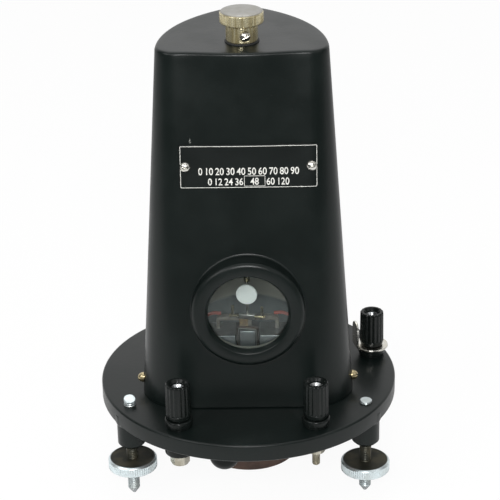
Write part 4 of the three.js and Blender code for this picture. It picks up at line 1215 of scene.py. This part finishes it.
class GALVANOMETER_OT_core(Builder, bpy.types.Operator):
    """The fixed core, the bridge that holds it and the two covered leads"""

    bl_idname = "galvanometer.core"
    bl_label = "Core and leads"

    def execute(self, context):
        core = surface("core_bar", [bar((-3.9, 3.9), (-1.8, 1.8), (-20, 23.6), 0.3)])
        dress(core, "dark_iron", ["iron_core"])
        line = rounded([(-15, 22, 0), (-15, BRIDGE_TOP, 1.2), (15, BRIDGE_TOP, 1.2), (15, 22, 0)], steps=6)
        spine = np.column_stack((line[:, 0], np.full(len(line), BRIDGE_Y), line[:, 1]))
        section = rectangle((-2, 2), (-1, 1), 0.2, 2)
        arch = surface("bridge_strap", [tube(spine, 1, reference=(0, 1, 0), section=section[:, ::-1])])
        tongue = bar((-2, 2), (BRIDGE_Y - 1.8, BRIDGE_Y + 1.8), (8, BRIDGE_TOP + 0.1), 0.25)
        stud = lathe([(0, -BRIDGE_Y), (1.2, -BRIDGE_Y), (1.2, -1.9), (0, -1.9)], 32)
        stud = turned(stud, x=math.pi / 2) + (0, 0, 12)
        carve(arch, [surface("tongue", [tongue]), surface("stud", [stud])], "UNION")
        dress(arch, "lacquered_brass", ["core_bridge"], finish="dull_bridge")
        for name, side in (("left", -1), ("right", 1)):
            self.lead(name, side)
        return {"FINISHED"}

    def lead(self, name, side):
        """A covered lead from the bridge, down through the plate and forward to its post."""
        low, top = -11.0, 29.7
        nut = -18.05 if name == "left" else -13.1
        points = [(13.5, 7, top), (18.3, 7, top), (27.6, 10, 22), (29, 10, 11), (29, 10, 0), (29, 10, low),
                  (31.4, 0, low - 0.9), (33.3, -27.5, low - 0.9), (33.3, -40.6, low - 0.9),
                  (33.3, -47.8, nut), (33.3, -50.59, nut)]
        path = smooth_path(np.array(points) * (side, 1, 1), 10)
        piece = surface(f"covered_lead_{name}", [tube(path, LEAD_RADIUS, 14, (0.6 * side, 0.6, 0.5))])
        dress(piece, "red_sleeving", [f"lead_{name}"])


class GALVANOMETER_OT_coil(Builder, bpy.types.Operator):
    """The suspended system: mirror, stem, cross bar, tab, coil and the spring below it"""

    bl_idname = "galvanometer.coil"
    bl_label = "Moving coil"

    def hang(self, name, grids, slot, node):
        """A piece of the suspended system, turned as the coil stands at rest."""
        piece = surface(name, [turned(grid, z=COIL_TURN) for grid in grids])
        dress(piece, slot, [node], "moving_coil")

    def execute(self, context):
        low, high = FERRULE_FOOT, FERRULE_TOP
        ferrule = rounded([(0, low, 0), (1.1, low, 0.2), (1.5, low + 0.5, 0.2), (1.5, high - 0.5, 0.2),
                           (1.1, high, 0.2), (0, high, 0)], steps=3)
        self.hang("strip_clamp", [lathe(ferrule, 32)], "lacquered_brass", "strip_ferrule")
        disc = rounded([(0, 0.7, 0), (MIRROR_RADIUS, 0.7, 0.1), (MIRROR_RADIUS, 1.9, 0.3), (0, 1.9, 0)],
                       steps=3)
        self.hang("mirror_disc", [turned(lathe(disc, 96), x=math.pi / 2) + (0, 0, MIRROR_Z)], "mirror_silver",
                  "mirror")
        foot, top = CROSS_BAR_Z
        stem = lathe([(0, top), (0.6, top), (0.6, low), (0, low)], 24)
        self.hang("mirror_rod", [stem], "nickel_plate", "mirror_stem")
        weight = rounded([(0, (foot + top) / 2, 0), (0.75, (foot + top) / 2, 0), (0.75, WEIGHT_TOP, 0.25),
                          (0, WEIGHT_TOP, 0)], steps=3)
        cross = [bar((-CROSS_BAR_HALF, CROSS_BAR_HALF), (-1, 1), CROSS_BAR_Z, 0.25)]
        cross += [lathe(weight, 24) + (side * WEIGHT_X, 0, 0) for side in (-1, 1)]
        self.hang("cross_bar", cross, "lacquered_brass", "inertia_bar")
        self.hang("hub_block", [bar((-4, 4), (-2.6, -1.1), (foot, 33.5), 0.3)], "plain_aluminium", "bar_hub")
        self.hang("board_tab", [bar((-4.1, 0.3), (-0.45, 0.45), (25.75, foot), 0.12)], "resin_board",
                  "coil_tab")
        low, high = FORMER_Z
        former = loop(FORMER_HALF, low, high, 0.4, 1.1, 0.6)
        self.hang("coil_frame", [former], "plain_aluminium", "coil_former")
        turns = loop(FORMER_HALF + WINDING_LIFT, low - WINDING_LIFT, high + WINDING_LIFT, WINDING_THICK,
                     WINDING_DEPTH, 1.0, self.wires(WINDING_THICK, WINDING_DEPTH))
        self.hang("coil_turns", [turns], "copper_wire", "coil_winding")
        share = np.linspace(0, 1, 241)
        angle = share * SPRING_TURNS * TURN
        spread = SPRING_RADIUS * np.maximum(np.sin(math.pi * share), 0) ** 0.25
        path = np.column_stack((spread * np.cos(angle), spread * np.sin(angle), mix(*SPRING_Z, share)))
        self.hang("spring_wire", [tube(path, 0.22, 8)], "copper_wire", "lower_spring")
        return {"FINISHED"}

    def wires(self, wall, depth, wire=0.15):
        """The section of a bundle of wires: a rectangle whose sides are rows of half circles."""
        corners = ((0, -depth), (wall, -depth), (wall, depth), (0, depth))
        sides = [(*corners[i], *corners[(i + 1) % 4]) for i in range(4)]
        points = []
        for x0, y0, x1, y1 in sides:
            reach = math.hypot(x1 - x0, y1 - y0)
            count = max(1, round(reach / wire))
            along = np.linspace(0, 1, count * 3, endpoint=False)
            dent = 0.3 * wire * (1 - np.abs(np.sin(along * count * math.pi)))
            inward = np.array((-(y1 - y0), x1 - x0)) / reach
            points.append(np.column_stack((mix(x0, x1, along), mix(y0, y1, along))) + dent[:, None] * inward)
        points = np.concatenate(points)
        return np.concatenate((points, points[:1]))


class GALVANOMETER_OT_posts(Builder, bpy.types.Operator):
    """The three terminal posts, each with stud, collar, insert, fluted cap, bush and nut"""

    bl_idname = "galvanometer.posts"
    bl_label = "Terminal posts"

    def execute(self, context):
        for name, (x, y) in POSTS.items():
            tag = 1.0 if name == "rear" else 0.0
            bush, tall, end = (5.8, 4.9, 20.8) if name == "left" else (1.6, 3.4, 22.4)
            self.post(name, np.array((x, y, 0)), COLLAR + 0.3 + tag, bush, tall, end)
        return {"FINISHED"}

    def post(self, name, at, seat, bush, tall, end):
        """A terminal post with its cap's seat, the bush's and the nut's height and the stud's depth."""
        carrier, cap = f"terminal_{name}_lift", f"terminal_{name}_cap"
        rod = rounded([(0, -end, 0), (STUD_RADIUS, -end, 1.1), (STUD_RADIUS, STUD_TOP, 0.3),
                       (0, STUD_TOP, 0)])
        threads = thread(STUD_PITCH, 0.16, STUD_RADIUS, -end + 0.6, STUD_TOP - 0.3)
        stud = lathe(between_rows(rod, 0.12), 32, threads)
        dress(surface(f"post_stud_{name}", [stud + at]), "nickel_plate", [f"terminal_{name}_stud"],
              finish="aged_nickel")
        collar = [(POST_BORE, -8.4, 0.2), (4, -8.4, 0.2), (4, 0, 0), (6.3, 0.02, 0.15), (6.3, 1.0, 0.25),
                  (6.8, 1.4, 0.3), (6.8, COLLAR, 0.75), (6.2, COLLAR, 0.1), (6.0, COLLAR - 0.3, 0.15),
                  (POST_BORE, COLLAR - 0.3, 0.1)]
        round_piece(f"post_collar_{name}", collar, "black_moulded", f"terminal_{name}_collar", around=72,
                    at=at, steps=4)
        top = CAP - 2
        insert = [(POST_BORE, 0.6, 0.2), (3.2, 0.6, 0.2), (3.2, top, 0.08), (2.95, top, 0.08),
                  (POST_BORE, top - 1.3, 0.2)]
        round_piece(f"post_socket_{name}", insert, "nickel_plate", f"terminal_{name}_insert", carrier, 48,
                    at + (0, 0, seat), "bright_steel")
        flute = flutes(self.sizes.cap_flutes, 0.42, 5.9, 2.9, CAP - 0.3, 0.5)
        skin = rounded([(3.3, 0, 0.2), (5.6, 0, 0.4), (6.2, 2.4, 1.5), (6.0, CAP, 0.8), (4.4, CAP, 0.35),
                        (3.3, CAP - 1.4, 0.3)], closed=True, steps=5)
        cap_grid = lathe(between_rows(skin, 0.5), self.sizes.cap_flutes * 9, flute)
        dress(surface(f"post_cap_{name}", [cap_grid + at + (0, 0, seat)]), "black_moulded",
              [f"terminal_{name}_cap"], cap)
        foot = UNDERSIDE - bush
        low = [(POST_BORE, foot, 0.2), (BUSH_RADIUS, foot, min(1.1, bush * 0.5)),
               (BUSH_RADIUS, UNDERSIDE - SEAM, 0.2), (POST_BORE, UNDERSIDE - SEAM, 0.1)]
        round_piece(f"post_bush_{name}", low, "black_moulded", f"terminal_{name}_bush", around=72,
                    at=at, steps=5)
        self.nut(name, at, foot, tall)

    def nut(self, name, at, top, tall):
        """A six-sided nut, r = flat / cos(a in its sixth), with its corners turned off and a round washer."""
        def six(radius, height, angle):
            """The radius, limited by six flats wherever it is over 4.2."""
            away = (angle % (TURN / 6)) - TURN / 12
            return np.where(radius > 4.2, np.minimum(radius, 4.11 / np.cos(away)), radius)
        low = top - 0.85 - tall
        body = rounded([(2.05, low, 0.2), (4.1, low, 0.1), (4.75, low + 0.45, 0.1), (4.75, top - 0.95, 0.1),
                        (2.05, top - 0.95, 0.1)], closed=True, steps=3)
        ring = rounded([(2.05, top - 0.96, 0.1), (4.65, top - 0.96, 0.25), (4.65, top - 0.05, 0.25),
                        (2.05, top - 0.05, 0.1)], closed=True, steps=3)
        piece = surface(f"post_nut_{name}", [lathe(body, 72, six) + at, lathe(ring, 72) + at])
        dress(piece, "nickel_plate", [f"terminal_{name}_nut"], finish="aged_nickel")


class GALVANOMETER_OT_tag(Builder, bpy.types.Operator):
    """The tag under the rear post's cap, whose tail turns up into a blade"""

    bl_idname = "galvanometer.tag"
    bl_label = "Terminal tag"

    def execute(self, context):
        x, y = POSTS["rear"]
        disc = rounded([(POST_BORE, 0, 0.1), (8.5, 0, 0.25), (8.5, 1, 0.25), (POST_BORE, 1, 0.1)],
                       closed=True, steps=3)
        piece = surface("tag_plate", [lathe(disc, 80) + (x, y, COLLAR)])
        line = rounded([(3, 0.5, 0), (8.7, 0.5, 1.6), (8.7, 15, 0)], steps=8)
        line = between_rows(line, 0.4)
        rise = line[:, 1]
        half = 4.0 * np.sqrt(np.clip(1 - (np.maximum(rise - 11.1, 0) / 3.9) ** 2, 0.0004, 1))
        along = np.gradient(line, axis=0)
        along /= np.linalg.norm(along, axis=1, keepdims=True)
        out = np.column_stack((along[:, 1], -along[:, 0]))
        flat = rectangle((-1, 1), (-0.5, 0.5), 0.08, 2)
        place = line[:, None] + out[:, None] * flat[None, :, 1, None]
        skin = np.stack((place[..., 0], half[:, None] * flat[None, :, 0], place[..., 1]), -1)
        ends = [np.repeat(skin[i].mean(0)[None, None], skin.shape[1], 1) for i in (0, -1)]
        blade = turned(np.concatenate((ends[0], skin, ends[1])), z=math.radians(195)) + (x, y, COLLAR)
        carve(piece, [surface("blade", [blade])], "UNION")
        dress(piece, "nickel_plate", ["terminal_tag"], "terminal_tag")
        return {"FINISHED"}


class GALVANOMETER_OT_levelling(Builder, bpy.types.Operator):
    """The three levelling screws with their knurled discs, and the points that they end in"""

    bl_idname = "galvanometer.levelling"
    bl_label = "Levelling screws"

    def execute(self, context):
        for name, (x, y) in LEVELS.items():
            proud = {"left": 4.25, "right": 1.4, "rear": 3.2}[name]
            self.screw(name, np.array((x, y, 0)), proud, -29.75 if name == "left" else -32.6)
        return {"FINISHED"}

    def screw(self, name, at, proud, top):
        """A levelling screw that stands proud of the base, its disc's top at a height, and its point."""
        low = top - DISC_HEIGHT
        shank = [(0, LEVEL_FOOT), (LEVEL_RADIUS, LEVEL_FOOT), (LEVEL_RADIUS, low + 0.6)]
        disc = rounded([(LEVEL_RADIUS, low + 0.6, 0), (4.6, low, 0.3), (11.9, low, 0.1),
                        (DISC_RADIUS, low + 0.3, 0.1), (DISC_RADIUS, top - 0.9, 0.2), (11.3, top, 0.3),
                        (10.4, top - 0.12, 0), (LEVEL_RADIUS, top - 0.12, 0)])
        stem = [(LEVEL_RADIUS, top - 0.12), (LEVEL_RADIUS, proud - 0.3), (2.7, proud), (0, proud)]
        knurling = teeth(self.sizes.disc_teeth, 0.32, DISC_RADIUS, low + 0.35, top - 0.95)
        threads = thread(LEVEL_PITCH, 0.28, LEVEL_RADIUS, LEVEL_FOOT - 0.1, proud - 0.3)
        rows_disc = lathe(between_rows(disc, 0.6), self.sizes.disc_teeth * 4, knurling)
        rows_low, rows_high = (lathe(between_rows(path, 0.14), 40, threads) for path in (shank, stem))

        def pole(rows, height):
            """A row drawn together on the screw's line."""
            return np.zeros_like(rows[:1]) + (0, 0, height)

        rows_disc = np.concatenate((pole(rows_disc, low + 1.2), rows_disc, pole(rows_disc, top - 1.2)))
        rows_low = np.concatenate((rows_low, pole(rows_low, low + 1.0)))
        rows_high = np.concatenate((pole(rows_high, top - 1.0), rows_high))
        if name == "left":
            slope = proud - 0.75 + 0.28 * rows_high[..., 1] - 0.1 * rows_high[..., 0]
            share = np.clip((slope - proud + 2) / 2, 0.1, 1)
            over = np.maximum(rows_high[..., 2] - proud + 2, 0)
            rows_high[..., 2] += over * (share - 1)
        piece = surface(f"level_screw_{name}", [rows_low + at, rows_disc + at, rows_high + at], 40)
        self.mark_handled(piece.data, at)
        dress(piece, "nickel_plate", [f"levelling_screw_{name}"], f"level_{name}_screw", "level_nickel")
        seat = LEVEL_FOOT - SEAM
        tip = [(0, POINT_END, 0), (0.8, POINT_END, 0.25), (LEVEL_RADIUS, seat, 0.2), (0, seat, 0)]
        round_piece(f"level_tip_{name}", tip, "bright_steel", f"levelling_point_{name}", f"level_{name}_lift",
                    48, at, closed=False, steps=4)

    def mark_handled(self, mesh, at):
        """Marks the points where the plating is painted lit: the disc's rim, below the disc and above the
        base; elsewhere it is painted shade.
        """
        points = vertex_places(mesh) / MM - AXIS - at
        rim = np.clip((np.hypot(points[:, 0], points[:, 1]) - 11.0) / 0.4, 0, 1)
        end = np.clip(points[:, 2] + 0.3, 0, 0.85)
        foot = np.clip(-38.2 - points[:, 2], 0, 0.7)
        mark(mesh, "handled", np.maximum(np.maximum(rim, end), foot))


# Studio

# Each lamp's place and the width of its disc in metres
LAMPS = {"key": ((-0.95, -0.75, 0.95), 0.8), "fill": ((0.95, -0.55, 0.7), 0.8),
         "top": ((0.0, 0.35, 1.3), 1.1), "front": ((-0.02, -0.86, 0.6), 0.3)}
CAMERA = (0.0146, -0.8157, 0.4916)
LENS = 129.5
PAN, PITCH, ROLL = (math.radians(angle) for angle in (-0.89, 24.63, -1.07))


class GALVANOMETER_OT_stage(Builder, bpy.types.Operator):
    """The pale floor, the soft lamps, the white surroundings and the camera at the photograph's angle"""

    bl_idname = "galvanometer.stage"
    bl_label = "Studio"

    def execute(self, context):
        studio = context.scene.galvanometer_studio
        self.floor()
        self.world(context, studio.world)
        for name, (place, size) in LAMPS.items():
            self.lamp("lamp_" + name, place, size, getattr(studio, name))
        self.camera(context)
        context.scene.view_settings.view_transform = "Standard"
        return {"FINISHED"}

    def floor(self):
        """A floor that the camera sees nearly white and that reflections see dark in front."""
        mesh = bpy.data.meshes.new("floor")
        mesh.from_pydata([(-4, -4, 0), (4, -4, 0), (4, 4, 0), (-4, 4, 0)], [], [(0, 1, 2, 3)])
        floor = new_object("floor", mesh)
        pale = bpy.data.materials.new("pale_floor")
        recipe = Recipe(pale)
        near = recipe.ramp(recipe.axis(recipe.place(), "Y"), -0.42, -0.12)
        seen, gloss = recipe.ray("Camera"), recipe.ray("Glossy")
        base = recipe.blend(gloss * (1 - near), (0.9, 0.9, 0.9), (0.1, 0.11, 0.11))
        coat = recipe.node("ShaderNodeBsdfDiffuse", None, {"Color": base})
        white = recipe.node("ShaderNodeEmission", None, {"Color": (1, 1, 1, 1), "Strength": 1.0})
        shader = recipe.node("ShaderNodeMixShader", None, {0: seen * 0.94, 1: coat, 2: white})
        recipe.node("ShaderNodeOutputMaterial", None, {"Surface": shader})
        mesh.materials.append(pale)

    def world(self, context, strength):
        """White for the camera; for gloss, white behind and above and dark in front; an even grey light."""
        world = bpy.data.worlds.new("surroundings")
        context.scene.world = world
        recipe = Recipe(world)
        way = recipe.node("ShaderNodeTexCoord", output="Generated")
        behind = recipe.ramp(recipe.axis(way, "Y"), 0.1, 0.7)
        over = recipe.ramp(recipe.axis(way, "Z"), 0.35, 0.9)
        gloss_level = recipe.maths("MAXIMUM", behind, over * 0.6) * 0.955 + 0.045
        gloss = recipe.ray("Glossy")
        white = recipe.maths("MAXIMUM", recipe.ray("Camera"), recipe.ray("Transmission"))
        level = gloss * gloss_level + (1 - gloss) * strength
        level = white + (1 - white) * level
        shader = recipe.node("ShaderNodeBackground", None, {"Color": (1, 1, 1, 1), "Strength": level})
        recipe.node("ShaderNodeOutputWorld", None, {"Surface": shader})

    def lamp(self, name, place, size, watts):
        """A round area lamp that looks at the instrument."""
        lamp = bpy.data.lights.new(name, "AREA")
        lamp.shape, lamp.size, lamp.energy = "DISK", size, watts
        made = new_object(name, lamp)
        made.location = place
        made.rotation_euler = (Vector((0, 0, 0.1)) - Vector(place)).to_track_quat("-Z", "Y").to_euler()

    def camera(self, context):
        """The camera at its place, turned by its pan, pitch and roll."""
        lens = bpy.data.cameras.new("camera")
        lens.lens, lens.sensor_width, lens.clip_start, lens.clip_end = LENS, 36, 0.05, 50
        made = new_object("camera", lens)
        ahead = Vector((math.sin(PAN) * math.cos(PITCH), math.cos(PAN) * math.cos(PITCH), -math.sin(PITCH)))
        right = ahead.cross(Vector((0, 0, 1))).normalized()
        turn = Matrix((right, right.cross(ahead), -ahead)).transposed().to_4x4()
        made.matrix_world = Matrix.Translation(CAMERA) @ turn @ Matrix.Rotation(ROLL, 4, "Z")
        context.scene.camera = made


# The panel and the order of the work

OPERATORS = (GALVANOMETER_OT_stage, GALVANOMETER_OT_base, GALVANOMETER_OT_cover, GALVANOMETER_OT_front_plate,
             GALVANOMETER_OT_cover_screws, GALVANOMETER_OT_torsion_head, GALVANOMETER_OT_magnet,
             GALVANOMETER_OT_core, GALVANOMETER_OT_coil, GALVANOMETER_OT_posts, GALVANOMETER_OT_tag,
             GALVANOMETER_OT_levelling)
GROUPS = {"galvanometer_sizes": GalvanometerSizes, "galvanometer_colours": GalvanometerColours,
          "galvanometer_studio": GalvanometerStudio}


class GALVANOMETER_PT_panel(bpy.types.Panel):
    """Sizes, colours and pieces of the galvanometer"""

    bl_idname = "GALVANOMETER_PT_panel"
    bl_label = "Galvanometer"
    bl_space_type = "VIEW_3D"
    bl_region_type = "UI"
    bl_category = "Galvanometer"

    def draw(self, context):
        column = self.layout.column()
        for group in GROUPS:
            held = getattr(context.scene, group)
            for name in held.__annotations__:
                column.prop(held, name)
        for operator in OPERATORS:
            column.operator(operator.bl_idname)


CLASSES = (*GROUPS.values(), *OPERATORS, GALVANOMETER_PT_panel)


def register():
    """Adds the classes and the three groups of values to the scene."""
    for made in CLASSES:
        bpy.utils.register_class(made)
    for name, group in GROUPS.items():
        setattr(bpy.types.Scene, name, PointerProperty(type=group))


def unregister():
    """Takes away what register() adds."""
    for name in GROUPS:
        delattr(bpy.types.Scene, name)
    for made in reversed(CLASSES):
        bpy.utils.unregister_class(made)


def main():
    """Builds everything in order."""
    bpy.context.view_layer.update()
    register()
    for operator in OPERATORS:
        group, name = operator.bl_idname.split(".")
        getattr(getattr(bpy.ops, group), name)()
    bpy.context.view_layer.update()


if __name__ == "__main__":
    main()
